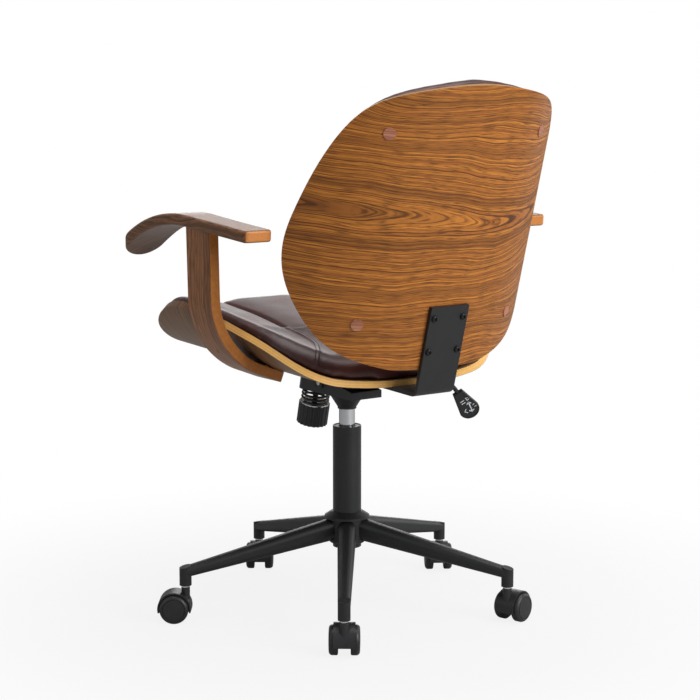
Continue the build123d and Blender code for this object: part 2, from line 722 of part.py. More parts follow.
# Fluted tension knob
with BuildPart() as tension_knob:
    with BuildSketch(STUD.offset(-RUN)):
        Circle(KNOB_R)
        with PolarLocations(KNOB_R + 1.6, KNOB_FLUTES):
            Circle(3.2, mode=Mode.SUBTRACT)
    extrude(amount=RUN - KNOB_HEIGHT)
    with BuildSketch(STUD.offset(-KNOB_HEIGHT)):
        Circle(KNOB_R - 6)
    extrude(amount=2, mode=Mode.SUBTRACT)
    with BuildSketch(STUD):
        Circle(STUD_R + RUN)
    extrude(amount=8 - KNOB_HEIGHT - PLAY, mode=Mode.SUBTRACT)
save(tension_knob, "tension_knob")


def coil(turn):
    """Point and direction of the spring's wire after so many turns."""
    a = 2 * pi * turn
    climb = SPRING_PITCH / (2 * pi)
    place = at(STUD, SPRING_MEAN_R * cos(a), SPRING_MEAN_R * sin(a), spring_foot + SPRING_PITCH * turn)
    return place, along(STUD, -SPRING_MEAN_R * sin(a), SPRING_MEAN_R * cos(a), climb).normalized()


# Tension spring, seated between the washer and the cup
spring_turns = (SPRING_LENGTH - SPRING_WIRE) / SPRING_PITCH
spring_steps = int(4 * spring_turns) + 1
spring_foot = WASHER_THICK + SPRING_WIRE / 2
with BuildPart() as tension_spring:
    with BuildLine() as wire_line:
        for i in range(spring_steps):
            biarc(*coil(spring_turns * i / spring_steps), *coil(spring_turns * (i + 1) / spring_steps))
    with BuildSketch(Plane(origin=wire_line.line @ 0, z_dir=wire_line.line % 0)):
        Circle(SPRING_WIRE / 2)
    sweep(path=wire_line.line)
wire_points = [coil(spring_turns * i / 400)[0] for i in range(401)]
wire_gap = min(
    (p - q).length for i, p in enumerate(wire_points) for q in wire_points[i + int(200 / spring_turns):]
) - SPRING_WIRE
print("spring: least gap between turns", round(wire_gap, 2), "mm")
save(tension_spring, "tension_spring")

# Lever: rod from the valve out to the sitter's right, and its paddle
LEVER_IN = (3.0, -3.0 * tan(radians(LEVER_SPREAD)), LEVER_Z)
LEVER_KNEE = (-55.0, 55.0 * tan(radians(LEVER_SPREAD)), LEVER_Z)
LEVER_ELBOW = Vector(-206.0, 206.0 * tan(radians(LEVER_SPREAD)), 382.5)
PADDLE_DROP = radians(50)
PADDLE_TWIST = radians(58)
paddle_line = Vector(-cos(PADDLE_DROP), 0, -sin(PADDLE_DROP))
paddle_top = Vector(-sin(PADDLE_DROP), 0, cos(PADDLE_DROP))
paddle_across = paddle_top * sin(PADDLE_TWIST) + Vector(0, cos(PADDLE_TWIST), 0)
paddle_face = paddle_across.cross(paddle_line)
PADDLE = Plane(origin=LEVER_ELBOW + paddle_line * 15, x_dir=paddle_across, z_dir=paddle_face)
with BuildPart() as lever_rod:
    with BuildLine() as rod_line:
        bent_path((LEVER_IN, LEVER_KNEE, LEVER_ELBOW, LEVER_ELBOW + paddle_line * 40), 14)
    with BuildSketch(Plane(origin=rod_line.line @ 0, z_dir=rod_line.line % 0)):
        Circle(LEVER_R)
    sweep(path=rod_line.line)
    with BuildSketch(Plane.XZ):
        with Locations((LEVER_PIVOT_X, LEVER_Z)):
            Circle(LEVER_PIN_R + RUN)
    extrude(amount=60, both=True, mode=Mode.SUBTRACT)
save(lever_rod, "lever_rod")

with BuildPart() as lever_paddle:
    with BuildSketch(PADDLE):
        with BuildLine():
            Line((-9.5, 0), (9.5, 0))
            Line((9.5, 0), (19, 44))
            ThreePointArc((19, 44), (0, 62), (-19, 44))
            Line((-19, 44), (-9.5, 0))
        make_face()
    extrude(amount=4.5, both=True)
    fillet(lever_paddle.edges().filter_by(Axis(PADDLE.origin, PADDLE.z_dir), reverse=True), 1.2)
    with BuildSketch(Plane(origin=LEVER_ELBOW + paddle_line * 14, z_dir=paddle_line)):
        Circle(LEVER_R)
    extrude(amount=26, mode=Mode.SUBTRACT)
save(lever_paddle, "lever_paddle")

with BuildPart() as lever_pin:
    with BuildSketch(Plane.XZ.offset(-LEVER_Y)):
        with Locations((LEVER_PIVOT_X, LEVER_Z)):
            Circle(LEVER_PIN_R)
    extrude(amount=11, both=True)
save(lever_pin, "lever_pin")

# Seat shell: bent ply, half of it cut to the blank's outline and mirrored
SEAT_WING = wing_plane(SEAT_SECTION, radians(SEAT_CUT))
SEAT_REACH = SEAT_FRONT[0] + 10
SEAT_SPAN = SEAT_FRONT[1] - SEAT_REAR[1] + 20
with BuildPart() as seat_shell:
    with BuildSketch(SEAT_SECTION.offset(SEAT_REAR[1] - 10)):
        with BuildLine():
            half_band(SEAT_TROUGH, SEAT_REACH, 0, SEAT_PLY)
        make_face()
    extrude(amount=SEAT_SPAN)
    with BuildSketch(SEAT_WING):
        with BuildLine():
            wing_outline(SEAT_TROUGH, radians(SEAT_CUT), seat_outline(0), 60)
        make_face()
    extrude(amount=600, both=True, mode=Mode.INTERSECT)
    mirror(about=Plane.YZ)
    seat_blank = seat_shell.part
    for x, y in SEAT_BOLTS + BRACKET_BOLTS:
        with BuildSketch(SEAT.offset(-1)):
            with Locations((x, seat_v(y))):
                Circle(INSERT_R)
        extrude(amount=INSERT_DEPTH + 1 + trough(SEAT_TROUGH, abs(x))[1], mode=Mode.SUBTRACT)
    for plane in ARM_BOLTS:
        with BuildSketch(plane):
            Circle(INSERT_R)
        extrude(amount=INSERT_DEPTH, both=True, mode=Mode.SUBTRACT)
save(seat_shell, "seat_shell")


# Seat pad: deeper to the front, with a channel inside each bolster, its edges drawn down to the ply
PAD_TOP = Plane(
    origin=SEAT_AT, x_dir=(1, 0, 0), z_dir=(0, -cos(PITCH + PAD_RISE), sin(PITCH + PAD_RISE)),
)
with BuildPart() as seat_pad:
    with BuildSketch(PAD_TOP.offset(SEAT_REAR[1] - 30)):
        with BuildLine():
            top = Spline(*SEAT_PAD_TOP, tangents=((1, 0), (0.87, 0.5)))
            Polyline(top @ 0, (0, -100), ((top @ 1).X, -100), top @ 1)
        make_face()
    extrude(amount=SEAT_SPAN + 40)
    with BuildSketch(SEAT_SECTION.offset(SEAT_REAR[1] - 10)):
        with BuildLine():
            trough_line(SEAT_TROUGH, SEAT_REACH, SEAT_PLY)
            rim = trough(SEAT_TROUGH, SEAT_REACH, SEAT_PLY)
            Polyline(rim[:2], (rim[0], 300), (0, 300), (0, SEAT_PLY))
        make_face()
    extrude(amount=SEAT_SPAN, mode=Mode.INTERSECT)
    with BuildSketch(SEAT_WING):
        with BuildLine():
            wing_outline(SEAT_TROUGH, radians(SEAT_CUT), seat_outline(1.5), 60)
        make_face()
    extrude(amount=600, both=True, mode=Mode.INTERSECT)
    crown = seat_pad.faces().sort_by(SortBy.AREA)[-1]
    fillet([e for e in crown.edges() if e.center().X > 1], PAD_ROUND)
    with BuildSketch(PAD_TOP.offset(SEAT_REAR[1] - 30)):
        with Locations(SEAT_CHANNEL):
            Circle(CHANNEL_R)
    extrude(amount=SEAT_SPAN + 40, mode=Mode.SUBTRACT)
    mirror(about=Plane.YZ)
save(seat_pad, "seat_pad")

# Back shell
BACK_WING = wing_plane(BACK, radians(BACK_CUT))
BACK_REACH = 310.0
with BuildPart() as back_shell:
    with BuildSketch(BACK.offset(-120)):
        with BuildLine():
            half_band(BACK_TROUGH, BACK_REACH, 0, BACK_PLY)
        make_face()
    extrude(amount=540)
    with BuildSketch(BACK_WING):
        with BuildLine():
            wing_outline(BACK_TROUGH, radians(BACK_CUT), back_outline(0, 0), 60)
        make_face()
    extrude(amount=600, both=True, mode=Mode.INTERSECT)
    mirror(about=Plane.YZ)
    back_blank = back_shell.part
    for x, h in BRACKET_SCREWS:
        with BuildSketch(Plane(origin=at(BACK, x, -1, h), z_dir=along(BACK, 0, 1, 0))):
            Circle(INSERT_R)
        extrude(amount=INSERT_DEPTH + 1 + trough(BACK_TROUGH, abs(x))[1], mode=Mode.SUBTRACT)
    for x, h in PLUG_SPOTS:
        with BuildSketch(spot(BACK, BACK_TROUGH, x, h), spot(BACK, BACK_TROUGH, -x, h)):
            Circle(PLUG_R)
        extrude(amount=-PLUG_DEPTH, both=True, mode=Mode.SUBTRACT)
save(back_shell, "back_shell")

# Back pad: crowned, with a channel down each side, its edges drawn in to the ply
with BuildPart() as back_pad:
    with BuildSketch(BACK.offset(-120)):
        with BuildLine():
            trough_line(BACK_TROUGH, BACK_REACH, BACK_PLY)
            stations = [trough(BACK_TROUGH, s, off)[:2] for s, off in BACK_PAD_FRONT]
            front = Spline(*stations, tangents=((1, 0), (1, 1)))
            Line((0, BACK_PLY), front @ 0)
            Line(trough(BACK_TROUGH, BACK_REACH, BACK_PLY)[:2], front @ 1)
        make_face()
    extrude(amount=540)
    with BuildSketch(BACK_WING):
        with BuildLine():
            wing_outline(BACK_TROUGH, radians(BACK_CUT), back_outline(4, 3.5), 60)
        make_face()
    extrude(amount=600, both=True, mode=Mode.INTERSECT)
    crown = back_pad.faces().sort_by(SortBy.AREA)[-1]
    fillet([e for e in crown.edges() if e.center().X < -1], PAD_ROUND)
    with BuildSketch(BACK.offset(-120)):
        with Locations(trough(BACK_TROUGH, *BACK_CHANNEL)[:2]):
            Circle(CHANNEL_R)
    extrude(amount=540, mode=Mode.SUBTRACT)
    mirror(about=Plane.YZ)
save(back_pad, "back_pad")

# Plugs over the pad's fixings
with BuildPart() as back_plugs:
    for x, h in PLUG_SPOTS:
        for side in (1, -1):
            with BuildSketch(spot(BACK, BACK_TROUGH, side * x, h).offset(-PLUG_DEPTH)):
                Circle(PLUG_R)
            extrude(amount=PLUG_DEPTH + PLUG_PROUD)
save(back_plugs, "back_plugs")

# Back bracket: bar up the back and flange under the seat, let in to both shells
bar_up = along(BACK, 0, 0, 1)
bar_in = along(BACK, 0, 1, 0)
bar_at = Vector(*BACK_AT)
flange_in = along(SEAT, 0, -1, 0)
flange_up = along(SEAT, 0, 0, 1)


def bracket_corner(depth, height):
    """Point in the side view where a line of the bar meets a line of the flange."""
    p = bar_at + bar_in * depth
    q = Vector(*SEAT_AT) + flange_up * height
    reach = (q - p).dot(flange_up) / bar_up.dot(flange_up)
    return p + bar_up * reach


with BuildPart() as back_bracket:
    with BuildSketch(Plane.YZ):
        with BuildLine():
            inner = bracket_corner(LET_IN, LET_IN)
            outer = bracket_corner(-BRACKET_THICK, -BRACKET_THICK)
            end = flange_in * (outer.Y - BRACKET_FRONT)
            ring = (
                inner, bar_at + bar_in * LET_IN + bar_up * BRACKET_TOP,
                bar_at - bar_in * BRACKET_THICK + bar_up * BRACKET_TOP, outer, outer + end,
                outer + end + flange_up * (BRACKET_THICK + LET_IN),
            )
            Polyline(*[(p.Y, p.Z) for p in ring], close=True)
        make_face()
    extrude(amount=BRACKET_HALF, both=True)
    outer_bend = BRACKET_BEND + BRACKET_THICK + LET_IN
    fillet(back_bracket.edges().filter_by(Axis.X).sort_by_distance(inner)[0], BRACKET_BEND)
    fillet(back_bracket.edges().filter_by(Axis.X).sort_by_distance(outer)[0], outer_bend)
    add(seat_blank, mode=Mode.SUBTRACT)
    add(back_blank, mode=Mode.SUBTRACT)
    with BuildSketch(SEAT.offset(-BRACKET_THICK)):
        with Locations(*[(x, seat_v(y)) for x, y in BRACKET_BOLTS]):
            Circle(BOLT_R)
    extrude(amount=2 * BRACKET_THICK, mode=Mode.SUBTRACT)
    for x, h in BRACKET_SCREWS:
        with BuildSketch(Plane(origin=at(BACK, x, 0, h), z_dir=along(BACK, 0, 1, 0))):
            Circle(BOLT_R)
        extrude(amount=2 * BRACKET_THICK, both=True, mode=Mode.SUBTRACT)
save(back_bracket, "back_bracket")

# Arm boards: a bent blank seen from the side, cut to its plan outline
slope = radians(BOARD_SLOPE)
board_turn = (BOARD_LENGTH - BOARD_STRAIGHT) / BOARD_BEND
board_dir = Vector(0, -cos(slope), sin(slope))
board_rear = Vector(0, *BOARD_REAR)
board_knee = board_rear + board_dir * BOARD_STRAIGHT
board_centre = board_knee - Vector(0, sin(slope), cos(slope)) * BOARD_BEND


def board_arc(share, r):
    """Point of the board's bent run, share of the way to its tip, at r from the bend's centre."""
    a = slope - board_turn * share
    p = board_centre + Vector(0, sin(a), cos(a)) * r
    return p.Y, p.Z


BOARDS = {}
for letter, side in (("l", 1), ("r", -1)):
    with BuildPart() as arm_board:
        with BuildSketch(Plane.YZ):
            with BuildLine():
                foot_r = BOARD_BEND - BOARD_THICK
                rear_foot = board_rear - Vector(0, sin(slope), cos(slope)) * BOARD_THICK
                Line((board_rear.Y, board_rear.Z), board_arc(0, BOARD_BEND))
                ThreePointArc(*[board_arc(t, BOARD_BEND) for t in (0, 0.5, 1)])
                Line(board_arc(1, BOARD_BEND), board_arc(1, foot_r))
                ThreePointArc(*[board_arc(t, foot_r) for t in (1, 0.5, 0)])
                Line(board_arc(0, foot_r), (rear_foot.Y, rear_foot.Z))
                Line((rear_foot.Y, rear_foot.Z), (board_rear.Y, board_rear.Z))
            make_face()
        extrude(amount=side * 400)
        with BuildSketch(raised(550)):
            with BuildLine():
                swing = 2 * atan2(BOARD_INNER_X - BOARD_NECK[0], BOARD_NECK_END - BOARD_NECK[1])
                neck = Vector(side * BOARD_NECK[0], BOARD_NECK[1])
                neck_way = Vector(side * sin(swing), cos(swing))
                shoulder = Vector(side * BOARD_OUTER_X, BOARD_SHOULDER)
                tip = Vector(side * BOARD_TIP[0], BOARD_TIP[1])
                biarc(shoulder, Vector(0, -1), tip, Vector(-side, 0))
                biarc(tip, Vector(-side, 0), neck, neck_way)
                TangentArc(neck, (side * BOARD_INNER_X, BOARD_NECK_END), tangent=neck_way)
                Polyline(
                    (side * BOARD_INNER_X, BOARD_NECK_END), (side * BOARD_INNER_X, 200),
                    (side * BOARD_OUTER_X, 200), (side * BOARD_OUTER_X, BOARD_SHOULDER),
                )
            make_face()
        extrude(amount=250, mode=Mode.INTERSECT)
        rear_face = arm_board.faces().sort_by(Axis.Y)[-1]
        fillet(rear_face.edges().filter_by(Axis.X, reverse=True), BOARD_CORNER)
        rear_face = arm_board.faces().sort_by(Axis.Y)[-1]
        fillet(rear_face.edges().filter_by(Axis.X), BOARD_ROUND)
        BOARDS[side] = arm_board.part
        with BuildSketch(raised(DOWEL_FOOT)):
            with Locations(*[(side * DOWEL_X, y) for y in ARM_BOLT_YS]):
                Circle(DOWEL_R)
        extrude(amount=DOWEL_LENGTH, mode=Mode.SUBTRACT)
    save(arm_board, f"arm_board_{letter}")

# Arm strips: up from under the seat, round the bend and up to the board, a slot in the bend
STRIP_TOP = BOARD_REAR[1] + 8
up_run = Vector(sin(radians(STRIP_LEAN)), cos(radians(STRIP_LEAN)))
foot_run = Vector(-cos(radians(STRIP_FOOT_TURN)), -sin(radians(STRIP_FOOT_TURN)))
bend_reach = STRIP_BEND / sin(up_run.get_angle(foot_run) * pi / 360)
bend_centre = Vector(*STRIP_KNEE) + (up_run + foot_run).normalized() * bend_reach
slot_out = Vector(cos(radians(SLOT_TURN)), -sin(radians(SLOT_TURN)))
slot_at = bend_centre + slot_out * (STRIP_BEND + STRIP_THICK)
for letter, side in (("l", 1), ("r", -1)):
    with BuildPart() as arm_strip:
        with BuildSketch(Plane.XZ.offset(-STRIP_REAR)):
            with BuildLine():
                FilletPolyline(
                    (side * strip_x(STRIP_TOP), STRIP_TOP), (side * STRIP_KNEE[0], STRIP_KNEE[1]),
                    (side * STRIP_FOOT[0], STRIP_FOOT[1]), radius=STRIP_BEND,
                )
                offset(amount=STRIP_THICK, side=Side.LEFT if side > 0 else Side.RIGHT)
            make_face()
        extrude(amount=STRIP_WIDTH)
        fillet(arm_strip.edges().filter_by(GeomType.CIRCLE), STRIP_ROUND)
        slot_plane = Plane(
            origin=(side * slot_at.X, STRIP_REAR - STRIP_WIDTH / 2, slot_at.Y), x_dir=(0, 1, 0),
            z_dir=(side * slot_out.X, 0, slot_out.Y),
        )
        with BuildSketch(slot_plane):
            SlotOverall(SLOT_LENGTH, SLOT_WIDTH, rotation=90)
        extrude(amount=SLOT_DEPTH, both=True, mode=Mode.SUBTRACT)
        add(BOARDS[side], mode=Mode.SUBTRACT)
        add(seat_blank, mode=Mode.SUBTRACT)
        for plane in [arm_bolt(side, y) for y in ARM_BOLT_YS]:
            with BuildSketch(plane):
                Circle(BOLT_R)
            extrude(amount=2 * STRIP_THICK, both=True, mode=Mode.SUBTRACT)
            with BuildSketch(plane.offset(ARM_BOLT_SUNK - STRIP_THICK)):
                Circle(BOLT_HEAD_R + PLAY)
            extrude(amount=-STRIP_THICK, mode=Mode.SUBTRACT)
        with BuildSketch(raised(DOWEL_FOOT)):
            with Locations(*[(side * DOWEL_X, y) for y in ARM_BOLT_YS]):
                Circle(DOWEL_R)
        extrude(amount=DOWEL_LENGTH, mode=Mode.SUBTRACT)
    save(arm_strip, f"arm_strip_{letter}")

with BuildPart() as board_dowels:
    with BuildSketch(raised(DOWEL_FOOT)):
        with Locations(*[(side * DOWEL_X, y) for side in (1, -1) for y in ARM_BOLT_YS]):
            Circle(DOWEL_R)
    extrude(amount=DOWEL_LENGTH)
save(board_dowels, "board_dowels")

# Bolts under the plate, one group for the seat and one for the bracket
for name, spots in (("seat_bolts", SEAT_BOLTS), ("bracket_bolts", BRACKET_BOLTS)):
    with BuildPart() as bolts:
        for x, y in spots:
            with BuildSketch(SEAT.offset(plate_foot)):
                with Locations((x, seat_v(y))):
                    RegularPolygon(BOLT_HEAD_R, 6)
            extrude(amount=-BOLT_HEAD)
            with BuildSketch(SEAT.offset(plate_foot)):
                with Locations((x, seat_v(y))):
                    Circle(BOLT_R)
            extrude(amount=trough(SEAT_TROUGH, abs(x))[1] + INSERT_DEPTH - plate_foot)
    save(bolts, name)

# Spacers between the plate and the shell
with BuildPart() as seat_spacers:
    with BuildSketch(SEAT.offset(-BRACKET_THICK)):
        with Locations(*[(x, seat_v(y)) for x, y in SEAT_BOLTS]):
            Circle(SPACER_R)
            Circle(BOLT_R, mode=Mode.SUBTRACT)
    extrude(amount=BRACKET_THICK + SEAT_PLY / 2)
    add(seat_blank, mode=Mode.SUBTRACT)
save(seat_spacers, "seat_spacers")

# Button-head screws through the bar
with BuildPart() as bracket_screws:
    for x, h in BRACKET_SCREWS:
        face = Plane(origin=at(BACK, x, -BRACKET_THICK, h), z_dir=along(BACK, 0, -1, 0))
        with BuildSketch(face):
            Circle(SCREW_HEAD_R)
        extrude(amount=SCREW_HEAD)
        rims = bracket_screws.edges().filter_by(GeomType.CIRCLE)
        fillet(rims.sort_by_distance(face.offset(SCREW_HEAD).origin)[0], SCREW_DOME)
        with BuildSketch(face.offset(SCREW_HEAD)):
            RegularPolygon(SCREW_SOCKET_R, 6)
        extrude(amount=-SCREW_SOCKET, mode=Mode.SUBTRACT)
        with BuildSketch(face):
            Circle(BOLT_R)
        extrude(amount=-(BRACKET_THICK + trough(BACK_TROUGH, abs(x))[1] + INSERT_DEPTH))
save(bracket_screws, "bracket_screws")

# Bolts through the arm strips, their heads sunk
with BuildPart() as arm_bolts:
    for plane in ARM_BOLTS:
        seating = plane.offset(ARM_BOLT_SUNK - STRIP_THICK)
        with BuildSketch(seating):
            Circle(BOLT_HEAD_R)
        extrude(amount=-BOLT_HEAD)
        with BuildSketch(seating):
            Circle(BOLT_R)
        extrude(amount=STRIP_THICK - ARM_BOLT_SUNK + INSERT_DEPTH)
save(arm_bolts, "arm_bolts")

# Threaded inserts in both shells
with BuildPart() as threaded_inserts:
    for x, y in SEAT_BOLTS + BRACKET_BOLTS:
        with BuildSketch(SEAT.offset(-1)):
            with Locations((x, seat_v(y))):
                Circle(INSERT_R)
                Circle(BOLT_R, mode=Mode.SUBTRACT)
        extrude(amount=INSERT_DEPTH + 1 + trough(SEAT_TROUGH, abs(x))[1])
    for plane in ARM_BOLTS:
        with BuildSketch(plane):
            Circle(INSERT_R)
            Circle(BOLT_R, mode=Mode.SUBTRACT)
        extrude(amount=INSERT_DEPTH, both=True)
    for x, h in BRACKET_SCREWS:
        with BuildSketch(Plane(origin=at(BACK, x, -1, h), z_dir=along(BACK, 0, 1, 0))):
            Circle(INSERT_R)
            Circle(BOLT_R, mode=Mode.SUBTRACT)
        extrude(amount=INSERT_DEPTH + 1 + trough(BACK_TROUGH, abs(x))[1])
    add(seat_blank + back_blank, mode=Mode.INTERSECT)
save(threaded_inserts, "threaded_inserts")
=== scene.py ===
# %% [markdown]
# # A swivel desk chair
# Two shells of bent walnut ply carry leather pads, two bent strips carry the arm boards, and a
# black tilt plate stands on a gas lift with five castors. The hard parts come in as CAD solids
# that already have the right shape, so this lesson gives them finishes, makes the soft leather
# pads with their seams, the coil spring and the small marks, and lights the result.

# %% Load the frame
import math

import bmesh
import bpy
from mathutils import Matrix, Vector
from mathutils.bvhtree import BVHTree
from mathutils.kdtree import KDTree


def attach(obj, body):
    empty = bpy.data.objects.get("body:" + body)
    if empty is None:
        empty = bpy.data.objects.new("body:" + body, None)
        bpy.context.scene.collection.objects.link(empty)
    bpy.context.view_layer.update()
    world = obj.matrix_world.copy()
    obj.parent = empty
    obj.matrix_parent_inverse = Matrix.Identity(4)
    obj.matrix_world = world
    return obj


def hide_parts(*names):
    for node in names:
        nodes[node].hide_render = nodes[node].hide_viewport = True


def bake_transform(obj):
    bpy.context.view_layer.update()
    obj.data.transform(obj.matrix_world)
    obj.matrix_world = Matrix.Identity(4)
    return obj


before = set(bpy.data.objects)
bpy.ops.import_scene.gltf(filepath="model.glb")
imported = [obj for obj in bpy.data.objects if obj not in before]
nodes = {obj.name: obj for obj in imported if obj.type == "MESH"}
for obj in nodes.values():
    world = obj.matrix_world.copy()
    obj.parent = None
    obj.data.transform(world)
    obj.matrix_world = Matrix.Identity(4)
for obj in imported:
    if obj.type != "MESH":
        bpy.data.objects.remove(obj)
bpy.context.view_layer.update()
scene = bpy.context.scene
MM = 0.001

# %% [markdown]
# ## Camera
# The view is from behind and to the left of the sitter, a little above the arms. A long lens keeps
# the perspective mild. `to_track_quat` turns a looking direction into a camera rotation.

# %% Camera
VIEW_TURN = math.radians(144.24)
VIEW_DIP = math.radians(8.45)
CAMERA_AT = (1.8043, 2.5143, 0.9214)
LENS = 92.27
looking = Vector((
    -math.sin(VIEW_TURN) * math.cos(VIEW_DIP),
    math.cos(VIEW_TURN) * math.cos(VIEW_DIP),
    -math.sin(VIEW_DIP),
))
camera = bpy.data.objects.new("camera", bpy.data.cameras.new("camera"))
scene.collection.objects.link(camera)
camera.location = CAMERA_AT
camera.rotation_euler = looking.to_track_quat("-Z", "Y").to_euler()
camera.data.lens = LENS
camera.data.sensor_width = 36.0
scene.camera = camera
print("camera: lens", camera.data.lens, "mm")

# %% [markdown]
# ## Colours and nodes
# Colours are written as the hex values that a picture shows, and a shader wants linear light, so one
# function converts them. Another adds any node with its settings and links in one line, which keeps
# each finish short enough to read.


# %% Colour and node helpers
def linear(code):
    """Linear RGBA of an sRGB hex colour."""
    parts = [int(code[i:i + 2], 16) / 255 for i in (1, 3, 5)]
    return [v / 12.92 if v <= 0.04045 else ((v + 0.055) / 1.055) ** 2.4 for v in parts] + [1.0]


def add(tree, kind, links=None, **settings):
    """Adds a node. Each link is a plain value, an output, or a node whose first output is meant."""
    made = tree.nodes.new(kind)
    for field, value in settings.items():
        setattr(made, field, value)
    for socket, value in (links or {}).items():
        if isinstance(value, bpy.types.Node):
            value = value.outputs[0]
        if isinstance(value, bpy.types.NodeSocket):
            tree.links.new(value, made.inputs[socket])
        else:
            made.inputs[socket].default_value = value
    return made


def new_finish(name):
    """An empty node material with its tree and shader."""
    material = bpy.data.materials.new(name)
    material.use_nodes = True
    return material, material.node_tree, material.node_tree.nodes["Principled BSDF"]


# %% [markdown]
# ## Floor and light
# A plain pale floor takes the shadow. For the camera's rays it glows nearly white under the chair and
# fully white further out, so that no horizon shows. Other rays meet plain pale paper, and no false light
# reaches the chair from below. The light comes from large soft panels, one of them a backdrop beyond the
# chair, and from a weak even sky.

# %% Floor
FLOOR_NEAR, FLOOR_FAR = 0.35, 1.1
FLOOR_GLOW = 0.86
FLOOR_RADIUS = 30.0


def piece_from(shape, name, finish):
    """Turns a drawn shape into an object with a finish."""
    mesh = bpy.data.meshes.new(name)
    shape.to_mesh(mesh)
    shape.free()
    mesh.materials.append(finish)
    piece = bpy.data.objects.new(name, mesh)
    scene.collection.objects.link(piece)
    print(name, len(mesh.polygons), "faces")
    return piece


paper, tree, shader = new_finish("pale_studio_floor")
shader.inputs["Base Color"].default_value = linear("#b4b4b4")
shader.inputs["Roughness"].default_value = 0.9
shader.inputs["Specular IOR Level"].default_value = 0.0
place = add(tree, "ShaderNodeTexCoord").outputs["Object"]
away = add(tree, "ShaderNodeVectorMath", {0: place}, operation="LENGTH")
fade = add(tree, "ShaderNodeMapRange", {
    "Value": away.outputs["Value"], "From Min": FLOOR_NEAR, "From Max": FLOOR_FAR, "To Min": FLOOR_GLOW,
}, interpolation_type="SMOOTHSTEP")
path = add(tree, "ShaderNodeLightPath")
share = add(tree, "ShaderNodeMath", {0: fade, 1: path.outputs["Is Camera Ray"]}, operation="MULTIPLY")
glow = add(tree, "ShaderNodeEmission", {"Color": (1, 1, 1, 1), "Strength": 1.0})
mixed = add(tree, "ShaderNodeMixShader", {0: share, 1: shader, 2: glow})
tree.links.new(mixed.outputs[0], tree.nodes["Material Output"].inputs["Surface"])
shape = bmesh.new()
bmesh.ops.create_circle(shape, cap_ends=True, segments=64, radius=FLOOR_RADIUS)
floor = piece_from(shape, "floor", paper)

# %% World
SKY, MIRRORED_SKY = 0.3, 0.38
world = bpy.data.worlds.new("white_room")
scene.world = world
world.use_nodes = True
tree = world.node_tree
path = add(tree, "ShaderNodeLightPath")
mirrored = add(tree, "ShaderNodeMath", {
    0: path.outputs["Is Glossy Ray"], 1: path.outputs["Is Transmission Ray"],
}, operation="MAXIMUM")
dim = add(tree, "ShaderNodeMapRange", {"Value": mirrored, "To Min": SKY, "To Max": MIRRORED_SKY})
strength = add(tree, "ShaderNodeMapRange", {
    "Value": path.outputs["Is Camera Ray"], "To Min": dim, "To Max": 1.0,
})
sky = tree.nodes["Background"]
sky.inputs["Color"].default_value = (1, 1, 1, 1)
tree.links.new(strength.outputs[0], sky.inputs["Strength"])
print("sky", SKY, "and mirrored", MIRRORED_SKY)

# %% Lamps
CHAIR_MIDDLE = Vector((0.0, 0.0, 0.5))
for name, place, size, power in (
    ("top_panel", (-0.3, 0.3, 3.2), 2.4, 60.0),
    ("rear_panel", (-1.1, 3.4, 1.9), 1.8, 98.0),
    ("right_panel", (-3.2, 0.1, 1.3), 2.0, 16.0),
    ("left_panel", (3.2, 0.4, 1.6), 1.6, 8.0),
    ("backdrop_panel", (-1.9, -2.6, 0.8), 1.5, 20.0),
):
    lamp = bpy.data.objects.new(name, bpy.data.lights.new(name, "AREA"))
    scene.collection.objects.link(lamp)
    lamp.data.size = size
    lamp.data.energy = power
    lamp.location = place
    lamp.rotation_euler = (CHAIR_MIDDLE - lamp.location).to_track_quat("-Z", "Y").to_euler()
scene.view_settings.view_transform = "Standard"
print("lamps: five panels")

# %% [markdown]
# ## Walnut
# Walnut veneer is sliced across the growth rings of a log that tapers, so the rings show as long lines
# that meet in pointed arches. That can be worked out rather than painted: a ring's number is the
# distance from the log's heart plus a little for the taper along the grain. Noise read along that
# number gives bands of uneven width, and much finer noise gives the dark open pores.

# %% Walnut figure
WANDER_RUN, WANDER_WIDE, WANDER = 280 * MM, 160 * MM, 25 * MM
BAND_WIDTH, RING_WIDTH, LINE_WIDTH = 26 * MM, 6 * MM, 1.9 * MM
PORE_LENGTH, PORE_WIDTH, PORE_DEPTH = 30 * MM, 0.9 * MM, 0.1 * MM


